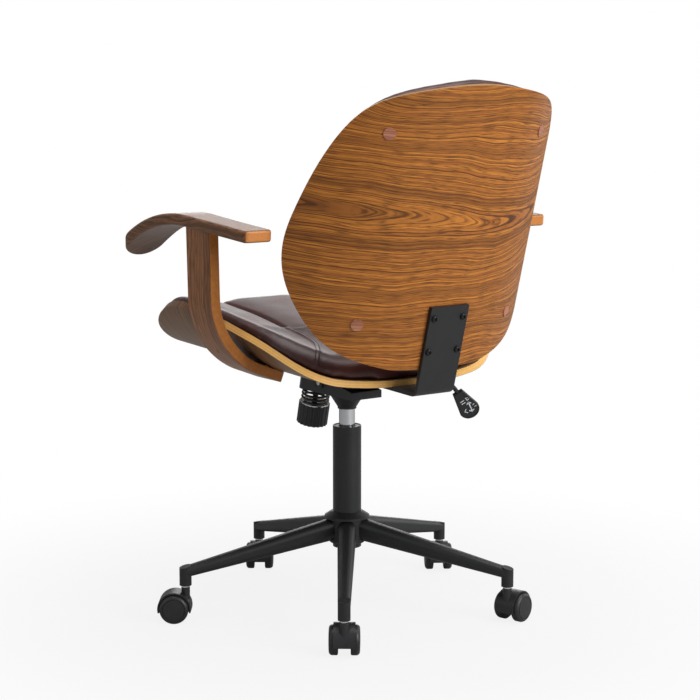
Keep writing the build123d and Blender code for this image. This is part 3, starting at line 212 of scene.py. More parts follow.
def walnut(tree, along, across, heart, tones, taper=-0.05, depth=0.02):
    """Adds walnut figure with its grain on one direction. Returns its colour and its height."""
    light, middle, dark = [linear(tone) for tone in tones]
    place = add(tree, "ShaderNodeTexCoord").outputs["Object"]
    run = add(tree, "ShaderNodeVectorMath", {0: place, 1: along}, operation="DOT_PRODUCT").outputs["Value"]
    wide = add(tree, "ShaderNodeVectorMath", {0: place, 1: across}, operation="DOT_PRODUCT").outputs["Value"]
    # the grain wanders sideways, slowly along its run
    slow = add(tree, "ShaderNodeCombineXYZ", {
        0: add(tree, "ShaderNodeMath", {0: run, 1: 1 / WANDER_RUN}, operation="MULTIPLY"),
        1: add(tree, "ShaderNodeMath", {0: wide, 1: 1 / WANDER_WIDE}, operation="MULTIPLY"),
    })
    wander = add(tree, "ShaderNodeTexNoise", {
        "Vector": slow, "Scale": 1.0, "Detail": 2.0,
    }, noise_dimensions="2D")
    shift = add(tree, "ShaderNodeMapRange", {"Value": wander, "To Min": -WANDER, "To Max": WANDER})
    side = add(tree, "ShaderNodeMath", {0: wide, 1: heart}, operation="SUBTRACT")
    side = add(tree, "ShaderNodeMath", {0: side, 1: shift}, operation="ADD")
    square = add(tree, "ShaderNodeMath", {0: side, 1: side, 2: depth ** 2}, operation="MULTIPLY_ADD")
    root = add(tree, "ShaderNodeMath", {0: square}, operation="SQRT")
    ring = add(tree, "ShaderNodeMath", {0: run, 1: taper, 2: root}, operation="MULTIPLY_ADD")
    # the rings read three ways: broad bands, the rings themselves, and the lines inside a ring
    reads = []
    for width, detail in ((BAND_WIDTH, 0.0), (RING_WIDTH, 2.0), (LINE_WIDTH, 2.0)):
        count = add(tree, "ShaderNodeMath", {0: ring, 1: 1 / width}, operation="MULTIPLY")
        reads.append(add(tree, "ShaderNodeTexNoise", {
            "W": count, "Scale": 1.0, "Detail": detail, "Roughness": 0.6,
        }, noise_dimensions="1D"))
    bands, rings, lines = reads
    # the pores are wider than real ones, so that they show
    fine = add(tree, "ShaderNodeCombineXYZ", {
        0: add(tree, "ShaderNodeMath", {0: run, 1: 1 / PORE_LENGTH}, operation="MULTIPLY"),
        1: add(tree, "ShaderNodeMath", {0: ring, 1: 1 / PORE_WIDTH}, operation="MULTIPLY"),
    })
    pores = add(tree, "ShaderNodeTexNoise", {
        "Vector": fine, "Scale": 1.0, "Detail": 3.0,
    }, noise_dimensions="2D")
    shares = []
    for source, start, end, most in (
        (rings, 0.36, 0.62, 1.0),
        (bands, 0.52, 0.74, 0.4),
        (lines, 0.46, 0.7, 0.85),
        (pores, 0.46, 0.7, 0.8),
    ):
        shares.append(add(tree, "ShaderNodeMapRange", {
            "Value": source, "From Min": start, "From Max": end, "To Max": most,
        }, interpolation_type="SMOOTHSTEP"))
    colour = add(tree, "ShaderNodeMix", {0: shares[0], 6: light, 7: middle}, data_type="RGBA").outputs[2]
    for share in shares[1:]:
        colour = add(tree, "ShaderNodeMix", {0: share, 6: colour, 7: dark}, data_type="RGBA").outputs[2]
    return colour, shares[-1].outputs[0]


# %% Wood surface
def wood_surface(tree, shader, colour, height, roughness):
    """Links a wood colour, and lets its pores sink."""
    bump = add(tree, "ShaderNodeBump", {
        "Height": height, "Strength": 0.5, "Distance": PORE_DEPTH,
    }, invert=True)
    tree.links.new(colour, shader.inputs["Base Color"])
    tree.links.new(bump.outputs[0], shader.inputs["Normal"])
    shader.inputs["Roughness"].default_value = roughness
    shader.inputs["Specular IOR Level"].default_value = 0.3


# %% [markdown]
# ## Bent ply shells
# The shells are walnut on beech layers. The faces show veneer, while the cut edge shows the honey
# coloured layers as thin lines. Both finishes sit on one solid, so the material has to know how deep
# under the outer face a point lies. The section is a wide arc with a tighter arc each side, and the
# depth is the arc's radius less the distance from its centre.

# %% Shapes of the panels
SEAT_PITCH = math.radians(2.18)
BACK_LEAN = math.radians(15.1)
PLY = 12 * MM
# a bend is the radius of the middle arc, half that arc's width, and the radius of the side arcs
SEAT = {
    "at": Vector((0.0, 0.175, 0.4238)), "bend": (974 * MM, 137 * MM, 149 * MM),
    "in": Vector((0.0, math.sin(SEAT_PITCH), math.cos(SEAT_PITCH))),
    "along": Vector((0.0, -math.cos(SEAT_PITCH), math.sin(SEAT_PITCH))),
}
BACK = {
    "at": Vector((0.0, 0.2767, 0.550)), "bend": (430 * MM, 95 * MM, 245 * MM),
    "in": Vector((0.0, -math.cos(BACK_LEAN), math.sin(BACK_LEAN))),
    "along": Vector((0.0, math.sin(BACK_LEAN), math.cos(BACK_LEAN))),
}
print("ply:", round(PLY / MM), "mm thick")


# %% Depth under the outer face
def side_arc(panel):
    """How far out and how far in the centre of a panel's side arc lies."""
    middle_r, middle_half, side_r = panel["bend"]
    turn = math.asin(middle_half / middle_r)
    return (middle_r - side_r) * math.sin(turn), middle_r - (middle_r - side_r) * math.cos(turn)


def ply_depth(panel, point):
    """How deep a point lies inside a panel's outer face."""
    middle_r, middle_half, side_r = panel["bend"]
    out, rise = abs(point.x), (point - panel["at"]).dot(panel["in"])
    if out <= middle_half:
        return middle_r - math.hypot(out, middle_r - rise)
    centre_out, centre_rise = side_arc(panel)
    return side_r - math.hypot(out - centre_out, centre_rise - rise)


def depth_nodes(tree, panel):
    """Adds the same depth as nodes."""
    middle_r, middle_half, side_r = panel["bend"]
    centre_out, centre_rise = side_arc(panel)
    place = add(tree, "ShaderNodeTexCoord").outputs["Object"]
    out = add(tree, "ShaderNodeMath", {
        0: add(tree, "ShaderNodeSeparateXYZ", {0: place}).outputs["X"],
    }, operation="ABSOLUTE")
    rise = add(tree, "ShaderNodeVectorMath", {
        0: place, 1: panel["in"],
    }, operation="DOT_PRODUCT").outputs["Value"]
    rise = add(tree, "ShaderNodeMath", {0: rise, 1: panel["at"].dot(panel["in"])}, operation="SUBTRACT")
    depths = []
    for x, z, radius in ((0.0, middle_r, middle_r), (centre_out, centre_rise, side_r)):
        from_centre = add(tree, "ShaderNodeVectorMath", {0: add(tree, "ShaderNodeCombineXYZ", {
            0: add(tree, "ShaderNodeMath", {0: out, 1: x}, operation="SUBTRACT"),
            1: add(tree, "ShaderNodeMath", {0: rise, 1: z}, operation="SUBTRACT"),
        })}, operation="LENGTH").outputs["Value"]
        depths.append(add(tree, "ShaderNodeMath", {0: radius, 1: from_centre}, operation="SUBTRACT"))
    outside = add(tree, "ShaderNodeMath", {0: out, 1: middle_half}, operation="GREATER_THAN")
    return add(tree, "ShaderNodeMix", {0: outside, 2: depths[0], 3: depths[1]}, data_type="FLOAT").outputs[0]


# %% Layers of a cut edge
LAYER = 1.3 * MM


def layered_edge(tree, deep, tones):
    """Adds the layers of a cut ply edge, striped by depth. Returns their colour."""
    pale, brown = [linear(tone) for tone in tones]
    place = add(tree, "ShaderNodeTexCoord").outputs["Object"]
    stripe = add(tree, "ShaderNodeMath", {0: deep, 1: 1 / LAYER}, operation="MULTIPLY")
    number = add(tree, "ShaderNodeMath", {0: stripe}, operation="FLOOR")
    tint = add(tree, "ShaderNodeTexWhiteNoise", {"W": number}, noise_dimensions="1D").outputs["Value"]
    within = add(tree, "ShaderNodeMath", {0: stripe}, operation="FRACT")
    glue = add(tree, "ShaderNodeMapRange", {
        "Value": within, "From Min": 0.72, "From Max": 0.95, "To Max": 0.55,
    }, interpolation_type="SMOOTHSTEP")
    grain = add(tree, "ShaderNodeTexNoise", {"Vector": place, "Scale": 1 / (4 * MM), "Detail": 3.0})
    dull = add(tree, "ShaderNodeMath", {0: tint, 1: 0.35}, operation="MULTIPLY")
    dull = add(tree, "ShaderNodeMath", {0: grain, 1: 0.4, 2: dull}, operation="MULTIPLY_ADD")
    dull = add(tree, "ShaderNodeMath", {0: dull, 1: glue}, operation="MAXIMUM")
    return add(tree, "ShaderNodeMix", {0: dull, 6: pale, 7: brown}, data_type="RGBA").outputs[2]


# %% Ply finish
VENEER = 0.5 * MM
STAIN_FADE = 30 * MM


def bent_ply(name, panel, along, across, heart, tones, edge_tones, roughness, bare_from):
    """Lacquered walnut ply for a bent shell. Its cut edge is stained, and bare behind some distance."""
    material, tree, shader = new_finish(name)
    veneer, height = walnut(tree, along, across, heart, tones)
    deep = depth_nodes(tree, panel)
    edge = layered_edge(tree, deep, edge_tones)
    place = add(tree, "ShaderNodeTexCoord").outputs["Object"]
    behind = add(tree, "ShaderNodeSeparateXYZ", {0: place}).outputs["Y"]
    bare = add(tree, "ShaderNodeMapRange", {
        "Value": behind, "From Min": bare_from - STAIN_FADE, "From Max": bare_from,
    }, interpolation_type="SMOOTHSTEP")
    edge = add(tree, "ShaderNodeMix", {0: bare, 6: veneer, 7: edge}, data_type="RGBA").outputs[2]
    below = add(tree, "ShaderNodeMath", {0: deep, 1: VENEER}, operation="GREATER_THAN")
    above = add(tree, "ShaderNodeMath", {0: deep, 1: PLY - VENEER}, operation="LESS_THAN")
    cut = add(tree, "ShaderNodeMath", {0: below, 1: above}, operation="MULTIPLY")
    colour = add(tree, "ShaderNodeMix", {0: cut, 6: veneer, 7: edge}, data_type="RGBA").outputs[2]
    wood_surface(tree, shader, colour, height, roughness)
    return material


# %% Dress the shells
def dress(material, *names):
    """Gives CAD nodes a finish."""
    for name in names:
        for slot in nodes[name].material_slots:
            slot.material = material
    print(material.name, "on", len(names), "nodes")


back_ply = bent_ply(
    "walnut_ply_back", BACK, along=(1, 0, 0), across=BACK["along"], heart=0.765,
    tones=("#d08433", "#a9652a", "#552f10"), edge_tones=("#b98a52", "#80552e"),
    roughness=0.4, bare_from=-1.0,
)
seat_ply = bent_ply(
    "walnut_ply_seat", SEAT, along=(1, 0, 0), across=(0, 1, 0), heart=0.30,
    tones=("#9a7453", "#7e5b3f", "#523a28"), edge_tones=("#ffce7c", "#d89a4c"),
    roughness=0.42, bare_from=0.0,
)
dress(back_ply, "back_shell")
dress(seat_ply, "seat_shell")

# %% [markdown]
# ## Arms
# Each arm is a bent strip with a board on top. The strip's grain follows its length, and its long
# narrow edges show plain orange wood, so the material looks at which way a face points. The boards
# are rubbed smoother by hands, and their end grain at the rear is a tan colour. The plugs and dowels are
# beech, turned and stained, so they show only a faint reddish figure.

# %% Arm strips and boards
for side, name in ((1, "l"), (-1, "r")):
    strip, tree, shader = new_finish("walnut_ply_arm_strip_" + name)
    face, height = walnut(
        tree, along=(0.35 * side, 0, 1), across=(0.25 * side, 1, 0), heart=0.13,
        tones=("#b57c55", "#97653f", "#5f3d24"), taper=0.02,
    )
    place = add(tree, "ShaderNodeTexCoord").outputs["Object"]
    grain = add(tree, "ShaderNodeTexNoise", {"Vector": place, "Scale": 1 / (6 * MM), "Detail": 3.0})
    edge = add(tree, "ShaderNodeMix", {
        0: grain, 6: linear("#c07a35"), 7: linear("#9a5b24"),
    }, data_type="RGBA").outputs[2]
    normal = add(tree, "ShaderNodeNewGeometry").outputs["Normal"]
    facing = add(tree, "ShaderNodeSeparateXYZ", {0: normal}).outputs["Y"]
    facing = add(tree, "ShaderNodeMath", {0: facing}, operation="ABSOLUTE")
    cut = add(tree, "ShaderNodeMapRange", {"Value": facing, "From Min": 0.75, "From Max": 0.85})
    colour = add(tree, "ShaderNodeMix", {0: cut, 6: face, 7: edge}, data_type="RGBA").outputs[2]
    wood_surface(tree, shader, colour, height, roughness=0.4)
    dress(strip, "arm_strip_" + name)

    board, tree, shader = new_finish("walnut_arm_board_" + name)
    face, height = walnut(
        tree, along=(0, 1, 0), across=(side, 0, 0.8), heart=0.36,
        tones=("#966a4a", "#7c5439", "#4f3423"), taper=0.03,
    )
    place = add(tree, "ShaderNodeTexCoord").outputs["Object"]
    specks = add(tree, "ShaderNodeTexNoise", {"Vector": place, "Scale": 1 / (1.5 * MM), "Detail": 2.0})
    end = add(tree, "ShaderNodeMix", {
        0: specks, 6: linear("#e09450"), 7: linear("#b26f38"),
    }, data_type="RGBA").outputs[2]
    normal = add(tree, "ShaderNodeNewGeometry").outputs["Normal"]
    facing = add(tree, "ShaderNodeSeparateXYZ", {0: normal}).outputs["Y"]
    cut = add(tree, "ShaderNodeMapRange", {"Value": facing, "From Min": 0.7, "From Max": 0.85})
    colour = add(tree, "ShaderNodeMix", {0: cut, 6: face, 7: end}, data_type="RGBA").outputs[2]
    wood_surface(tree, shader, colour, height, roughness=0.34)
    dress(board, "arm_board_" + name)

# %% Plugs and dowels
plug, tree, shader = new_finish("stained_beech_plug")
face, height = walnut(
    tree, along=(1, 0, 0), across=(0, 0.2, 1), heart=0.6, tones=("#c4866a", "#b07358", "#845039"),
)
wood_surface(tree, shader, face, height, roughness=0.35)
dress(plug, "back_plugs", "board_dowels")

# %% [markdown]
# ## Leather
# Finished hide is dark reddish brown with a soft gloss. Seen close, it is a net of fine creases between
# small pebbles, which Voronoi cells give, and its colour clouds gently over a hand's width. The creases
# are also darkened in the colour, which is painted shade. The real pebbles are about a millimetre wide
# and would not show at this distance, so they are drawn larger.

# %% Leather finish
PEBBLE, CLOUD, FOLD = 2.2 * MM, 60 * MM, 32 * MM
leather, tree, shader = new_finish("finished_hide")
place = add(tree, "ShaderNodeTexCoord").outputs["Object"]
clouds = add(tree, "ShaderNodeTexNoise", {"Vector": place, "Scale": 1 / CLOUD, "Detail": 3.0})
creases = add(tree, "ShaderNodeTexVoronoi", {
    "Vector": place, "Scale": 1 / PEBBLE, "Randomness": 1.0,
}, feature="DISTANCE_TO_EDGE")
pebbles = add(tree, "ShaderNodeMapRange", {
    "Value": creases, "From Max": 0.35,
}, interpolation_type="SMOOTHSTEP")
tint = add(tree, "ShaderNodeMapRange", {"Value": clouds, "From Min": 0.35, "From Max": 0.65})
hide = add(tree, "ShaderNodeMix", {
    0: tint, 6: linear("#3b150f"), 7: linear("#512118"),
}, data_type="RGBA").outputs[2]
# painted shade: the creases are darkened in the colour as well as sunk by the bump
painted_crease_shade = add(tree, "ShaderNodeMapRange", {"Value": pebbles, "To Min": 0.35, "To Max": 0.0})
hide = add(tree, "ShaderNodeMix", {0: painted_crease_shade, 6: hide, 7: linear("#1a0a08")}, data_type="RGBA").outputs[2]
tree.links.new(hide, shader.inputs["Base Color"])
gloss = add(tree, "ShaderNodeMapRange", {"Value": clouds, "To Min": 0.34, "To Max": 0.5})
tree.links.new(gloss.outputs[0], shader.inputs["Roughness"])
folds = add(tree, "ShaderNodeTexNoise", {"Vector": place, "Scale": 1 / FOLD, "Detail": 2.0})
sag = add(tree, "ShaderNodeBump", {"Height": folds, "Strength": 0.25, "Distance": 2 * MM})
bump = add(tree, "ShaderNodeBump", {
    "Height": pebbles, "Strength": 0.35, "Distance": 0.15 * MM, "Normal": sag,
})
tree.links.new(bump.outputs[0], shader.inputs["Normal"])
shader.inputs["IOR"].default_value = 1.5
print(leather.name, "with pebbles of", round(PEBBLE / MM, 1), "mm")

# %% [markdown]
# ## Steel and plastic
# The tilt plate, bracket and tubes are powder coated: a satin black with a fine orange-peel skin. The
# lift cylinder is ground and plated steel, so it mirrors the room with faint rings round it. The
# castors and the knob are moulded plastic with a finely etched skin. The bolts are blackened in an oxide
# bath, which leaves a dark sheen with a little metal in it. On each of them one noise drifts both the tone
# and the gloss.


# %% Drift of tone and gloss
def drift(tree, shader, noise, tones, roughness):
    """Lets a noise lead a finish from one tone and roughness to another."""
    first, second = [linear(tone) for tone in tones]
    tone = add(tree, "ShaderNodeMix", {0: noise, 6: first, 7: second}, data_type="RGBA").outputs[2]
    tree.links.new(tone, shader.inputs["Base Color"])
    smooth, rough = roughness
    gloss = add(tree, "ShaderNodeMapRange", {"Value": noise, "To Min": smooth, "To Max": rough})
    tree.links.new(gloss.outputs[0], shader.inputs["Roughness"])


# %% Black powder coat
coat, tree, shader = new_finish("satin_black_powder_coat")
place = add(tree, "ShaderNodeTexCoord").outputs["Object"]
peel = add(tree, "ShaderNodeTexNoise", {"Vector": place, "Scale": 1 / (1.2 * MM), "Detail": 2.0})
dust = add(tree, "ShaderNodeTexNoise", {"Vector": place, "Scale": 1 / (30 * MM), "Detail": 3.0})
drift(tree, shader, dust, ("#141516", "#1d1e20"), (0.36, 0.5))
bump = add(tree, "ShaderNodeBump", {"Height": peel, "Strength": 0.3, "Distance": 0.08 * MM})
tree.links.new(bump.outputs[0], shader.inputs["Normal"])
dress(
    coat, "hub", "outer_tube", "tilt_housing", "seat_plate", "back_bracket", "tension_spring",
    "lever_rod", *[f"leg_{n}" for n in range(1, 6)],
)

# %% Bright steel
plated, tree, shader = new_finish("ground_plated_steel")
place = add(tree, "ShaderNodeTexCoord").outputs["Object"]
round_it, up_it = 1 / (50 * MM), 1 / (0.6 * MM)
turned = add(tree, "ShaderNodeMapping", {"Vector": place, "Scale": (round_it, round_it, up_it)})
rings = add(tree, "ShaderNodeTexNoise", {"Vector": turned, "Scale": 1.0, "Detail": 2.0})
drift(tree, shader, rings, ("#c9cbcd", "#e3e4e6"), (0.12, 0.24))
shader.inputs["Metallic"].default_value = 1.0
dress(
    plated, "lift_cylinder", "piston_rod", "valve_pin", "pivot_pin", "lever_pin", "castor_stems",
    "thrust_bearing", "tension_washer", "threaded_inserts",
    *[f"castor_axle_{n}" for n in range(1, 6)],
)

# %% Black oxide fasteners
oxide, tree, shader = new_finish("black_oxide_steel")
place = add(tree, "ShaderNodeTexCoord").outputs["Object"]
stain = add(tree, "ShaderNodeTexNoise", {"Vector": place, "Scale": 1 / (3 * MM), "Detail": 3.0})
drift(tree, shader, stain, ("#1a1a1c", "#2c2c2f"), (0.22, 0.38))
shader.inputs["Metallic"].default_value = 0.6
dress(
    oxide, "seat_bolts", "bracket_bolts", "bracket_screws", "arm_bolts", "seat_spacers", "tension_stud",
)

# %% Moulded plastic
plastic, tree, shader = new_finish("etched_black_nylon")
place = add(tree, "ShaderNodeTexCoord").outputs["Object"]
etch = add(tree, "ShaderNodeTexVoronoi", {"Vector": place, "Scale": 1 / (0.9 * MM)})
scuffs = add(tree, "ShaderNodeTexNoise", {"Vector": place, "Scale": 1 / (18 * MM), "Detail": 4.0})
drift(tree, shader, scuffs, ("#17181a", "#242527"), (0.34, 0.52))
bump = add(tree, "ShaderNodeBump", {"Height": etch, "Strength": 0.25, "Distance": 0.06 * MM})
tree.links.new(bump.outputs[0], shader.inputs["Normal"])
shader.inputs["IOR"].default_value = 1.53
dress(
    plastic, "tension_knob", "lever_paddle", "guide_bush",
    *[f"castor_hood_{n}" for n in range(1, 6)],
    *[f"wheel_{n}{half}" for n in range(1, 6) for half in "ab"],
)

# %% [markdown]
# ## Pads
# The pads are foam under leather. A copy of the CAD pad is remeshed into even squares, blown up a
# little by the cloth solver with the side on the ply held still, and then smoothed. The solver gives
# the crown and the tight corners that a plain solid lacks. The remesh loses the narrow grooves, so the
# points near each groove's line are pressed back in, less and less with distance, and the roll beside
# it is pushed out the same way.

# %% Even faces
VOXEL = 6 * MM
WELD = 0.01 * MM


def settle(piece):
    """Applies the modifiers of a piece."""
    graph = bpy.context.evaluated_depsgraph_get()
    fixed = bpy.data.meshes.new_from_object(piece.evaluated_get(graph))
    piece.modifiers.clear()
    old, piece.data = piece.data, fixed
    bpy.data.meshes.remove(old)


def remeshed(name, source):
    """A new object with the source's shape in even faces."""
    piece = bpy.data.objects.new(name, nodes[source].data.copy())
    scene.collection.objects.link(piece)
    piece.data.materials.clear()
    shape = bmesh.new()
    shape.from_mesh(piece.data)
    bmesh.ops.remove_doubles(shape, verts=shape.verts, dist=WELD)
    shape.to_mesh(piece.data)
    shape.free()
    even = piece.modifiers.new("even", "REMESH")
    even.mode = "VOXEL"
    even.voxel_size = VOXEL
    settle(piece)
    return piece


# %% Swelling a pad
PUFF_FRAMES, PUFF_FORCE, PUFF_CAP = 12, 4.0, 3 * MM
HELD_DEPTH = PLY + 9 * MM


def puffed(piece, panel):
    """Blows a pad up off its panel by the cloth solver, no point further than the cap."""
    start = [v.co.copy() for v in piece.data.vertices]
    held = piece.vertex_groups.new(name="held")
    near_ply = [v.index for v in piece.data.vertices if ply_depth(panel, v.co) < HELD_DEPTH]
    held.add(near_ply, 1.0, "REPLACE")
    cloth = piece.modifiers.new("cloth", "CLOTH")
    cloth.settings.vertex_group_mass = "held"
    cloth.settings.quality = 4
    cloth.settings.use_pressure = True
    cloth.settings.uniform_pressure_force = PUFF_FORCE
    cloth.settings.effector_weights.gravity = 0.0
    cloth.point_cache.frame_start = 1
    cloth.point_cache.frame_end = PUFF_FRAMES
    for number in range(1, PUFF_FRAMES + 1):
        scene.frame_set(number)
    settle(piece)
    scene.frame_set(1)
    for vertex, rest in zip(piece.data.vertices, start):
        moved = vertex.co - rest
        if moved.length > PUFF_CAP:
            vertex.co = rest + moved * (PUFF_CAP / moved.length)
    piece.vertex_groups.clear()


# %% Pressing lines in
def smooth_path(points):
    """Closely spaced points along a smooth curve through the neighbourhood of some points in mm."""
    curve = bpy.data.curves.new("path", "CURVE")
    curve.dimensions = "3D"
    spline = curve.splines.new("NURBS")
    spline.points.add(len(points) - 1)
    for point, place in zip(spline.points, points):
        point.co = [v * MM for v in place] + [1.0]
    spline.use_endpoint_u = True
    spline.order_u = 3
    spline.resolution_u = 24
    line = bpy.data.objects.new("path", curve)
    mesh = bpy.data.meshes.new_from_object(line)
    path = [v.co.copy() for v in mesh.vertices]
    bpy.data.objects.remove(line)
    bpy.data.meshes.remove(mesh)
    return path


def pressed(piece, path, depth, width):
    """Presses a groove into a piece along a path, or pushes a roll out with a negative depth."""
    near = KDTree(len(path))
    for number, point in enumerate(path):
        near.insert(point, number)
    near.balance()
    normals = [vertex.normal.copy() for vertex in piece.data.vertices]
    for vertex, normal in zip(piece.data.vertices, normals):
        away = near.find(vertex.co)[2]
        if away < 3 * width:
            vertex.co -= normal * depth * math.exp(-((away / width) ** 2))


# %% Grooves and rolls
def back_spot(across, deep, high):
    """Place in mm on the back: across, in from its outer face, and up along it."""
    return BACK["at"] / MM + BACK["in"] * deep + BACK["along"] * high + Vector((across, 0.0, 0.0))


GROOVE = (
    (88, -292, 522), (87, -235, 520), (84, -180, 515),
    (85, -140, 511), (88, -105, 507), (93, -60, 501),
)
GROOVE_DEPTH, GROOVE_WIDTH = 11 * MM, 4.5 * MM
ROLL_OUT, ROLL_UP = 34, 4
ROLL_DEPTH, ROLL_WIDTH = -5 * MM, 26 * MM
CHANNEL_ACROSS, CHANNEL_DEEP, CHANNEL_HIGH = 99, 62, (-60, 60, 180, 300, 350)
CHANNEL_DEPTH, CHANNEL_WIDTH = 9 * MM, 5 * MM
presses = {"seat_cushion": [], "back_cushion": []}
for side in (1, -1):
    roll = smooth_path([((x + ROLL_OUT) * side, y, z + ROLL_UP) for x, y, z in GROOVE])
    presses["seat_cushion"].append((roll, ROLL_DEPTH, ROLL_WIDTH))
    groove = smooth_path([(x * side, y, z) for x, y, z in GROOVE])
    presses["seat_cushion"].append((groove, GROOVE_DEPTH, GROOVE_WIDTH))
    channel = smooth_path([back_spot(CHANNEL_ACROSS * side, CHANNEL_DEEP, v) for v in CHANNEL_HIGH])
    presses["back_cushion"].append((channel, CHANNEL_DEPTH, CHANNEL_WIDTH))
print("lines to press:", {name: len(lines) for name, lines in presses.items()})

# %% Make the pads
SMOOTHINGS = 8
PADS = (("seat_cushion", "seat_pad", SEAT), ("back_cushion", "back_pad", BACK))
pads = {}
for name, source, panel in PADS:
    piece = remeshed(name, source)
    puffed(piece, panel)
    shape = bmesh.new()
    shape.from_mesh(piece.data)
    for _ in range(SMOOTHINGS):
        bmesh.ops.smooth_vert(
            shape, verts=shape.verts, factor=0.5, use_axis_x=True, use_axis_y=True, use_axis_z=True,
        )
    shape.to_mesh(piece.data)
    shape.free()
    finer = piece.modifiers.new("finer", "SUBSURF")
    finer.levels = finer.render_levels = 1
    settle(piece)
    for path, depth, width in presses[name]:
        pressed(piece, path, depth, width)
    pads[name] = piece
    print(name, len(piece.data.vertices), "points")

# %% Cover the pads
for name, source, _ in PADS:
    piece = pads[name]
    piece.data.materials.append(leather)
    piece.data.shade_smooth()
    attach(piece, "seat")
    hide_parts(source)
    print(name, "covers", source)

# %% [markdown]
# ## Seams
# Where two hides meet, the edges are folded under and sewn down on both sides, which leaves a low band
# between two furrows. The band is a short row of points, extruded step by step along a path that lies
# on the cushion. Each furrow holds a row of stitches, small stretched balls of waxed thread.

# %% Seam bands
HALF_BAND = (
    (-7.5, -1.2), (-6.2, 0.35), (-4.6, 0.6), (-3.9, 0.1),
    (-3.5, -0.2), (-3.1, 0.1), (-2.4, 0.75), (0.0, 1.0),
)
BAND = HALF_BAND + tuple((-x, z) for x, z in HALF_BAND[-2::-1])


def on_cushion(path, surface):
    """Place, way along, way across and way up of each point of a path laid on a surface."""
    spots = [surface.find_nearest(point)[:2] for point in path]
    laid = []
    for number, (place, up) in enumerate(spots):
        along = spots[min(number + 1, len(spots) - 1)][0] - spots[max(number - 1, 0)][0]
        across = along.cross(up).normalized()
        laid.append((place, along.normalized(), across, up))
    return laid


def band_mesh(shape, laid):
    """Extrudes the band's profile along a laid path."""
    rows = [
        [place + across * x * MM + up * z * MM for x, z in BAND]
        for place, _, across, up in laid
    ]
    row = [shape.verts.new(spot) for spot in rows[0]]
    for spots in rows[1:]:
        edges = [shape.edges.get(pair) or shape.edges.new(pair) for pair in zip(row, row[1:])]
        fresh = set(bmesh.ops.extrude_edge_only(shape, edges=edges)["geom"])
        row = [next(e.other_vert(v) for e in v.link_edges if e.other_vert(v) in fresh) for v in row]
        for vert, spot in zip(row, spots):
            vert.co = spot


# %% Stitches
FURROW = 3.5 * MM
STITCH_LONG, STITCH_WIDE, STITCH_HIGH = 4.2 * MM, 1.1 * MM, 0.9 * MM
STITCH_STEP, STITCH_UP = 5.2 * MM, 0.1 * MM


def stitch_row(shape, laid, offset):
    """Sews a row of stitches beside a laid path."""
    gone = 0.0
    for (place, along, across, up), after in zip(laid, laid[1:]):
        gone += (after[0] - place).length
        if gone < STITCH_STEP:
            continue
        gone = 0.0
        turn = Matrix((along, across, up)).transposed().to_4x4()
        spot = Matrix.Translation(place + across * offset + up * STITCH_UP)
        size = Matrix.Diagonal((STITCH_LONG, STITCH_WIDE, STITCH_HIGH, 1.0))
        bmesh.ops.create_uvsphere(
            shape, u_segments=6, v_segments=4, radius=0.5, matrix=spot @ turn @ size,
        )


# %% Thread
thread, tree, shader = new_finish("waxed_dark_thread")
place = add(tree, "ShaderNodeTexCoord").outputs["Object"]
ply_twist = add(tree, "ShaderNodeTexNoise", {"Vector": place, "Scale": 1 / (0.6 * MM), "Detail": 2.0})
tone = add(tree, "ShaderNodeMix", {
    0: ply_twist, 6: linear("#120807"), 7: linear("#22110e"),
}, data_type="RGBA").outputs[2]
tree.links.new(tone, shader.inputs["Base Color"])
shader.inputs["Roughness"].default_value = 0.6
print(thread.name, "for the stitches")

# %% Sew the seat
SIDE_SEAM = (
    (93, -62, 501), (91, -22, 498), (95, 9, 494), (101, 40, 490), (112, 68, 487),
    (130, 98, 487), (152, 130, 488), (166, 149, 482), (170, 155, 468),
)
CROSS_SEAM = (
    (92, -42, 500), (76, -32, 501), (40, -24, 502), (0, -22, 502),
    (-40, -24, 502), (-76, -32, 501), (-92, -42, 500),
)
paths = [smooth_path(CROSS_SEAM)]
paths += [smooth_path([(x * side, y, z) for x, y, z in SIDE_SEAM]) for side in (1, -1)]
cushion = bmesh.new()
cushion.from_mesh(pads["seat_cushion"].data)
surface = BVHTree.FromBMesh(cushion)
cushion.free()
bands, stitches = bmesh.new(), bmesh.new()
for path in paths:
    laid = on_cushion(path, surface)
    band_mesh(bands, laid)
    for offset in (FURROW, -FURROW):
        stitch_row(stitches, laid, offset)
bmesh.ops.recalc_face_normals(bands, faces=bands.faces)
for name, shape, finish in (("seat_seam_bands", bands, leather), ("seat_stitches", stitches, thread)):
    piece = piece_from(shape, name, finish)
    piece.data.shade_smooth()
    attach(piece, "seat")

# %% [markdown]
# ## Paddle
# The height lever ends in a flat paddle with a raised rim and plain white marks: bars for the seat, and
# arrows for the way it moves. They are drawn flat as small bars in the paddle's own plane, a tenth of a
# millimetre proud, and turned into place at the end by one matrix. The print is a little worn, so its
# white is uneven.

# %% Plane of the paddle
SLOPE, ROLL = math.radians(50), math.radians(58)
ROD_END = Vector((-0.206, 0.04004, 0.3825))
PADDLE_START, PADDLE_FACE = 15 * MM, 4.5 * MM
down = Vector((-math.cos(SLOPE), 0.0, -math.sin(SLOPE)))
level = Vector((-math.sin(SLOPE), 0.0, math.cos(SLOPE)))
over = level * math.sin(ROLL) + Vector((0.0, math.cos(ROLL), 0.0))
out = down.cross(over)
paddle_at = ROD_END + down * PADDLE_START + out * PADDLE_FACE
to_paddle = Matrix.Translation(paddle_at) @ Matrix((over, down, out)).transposed().to_4x4()
print("paddle at", [round(v, 3) for v in paddle_at])

# %% Marks
MARK_THICK, MARK_SUNK = 0.4 * MM, 0.1 * MM


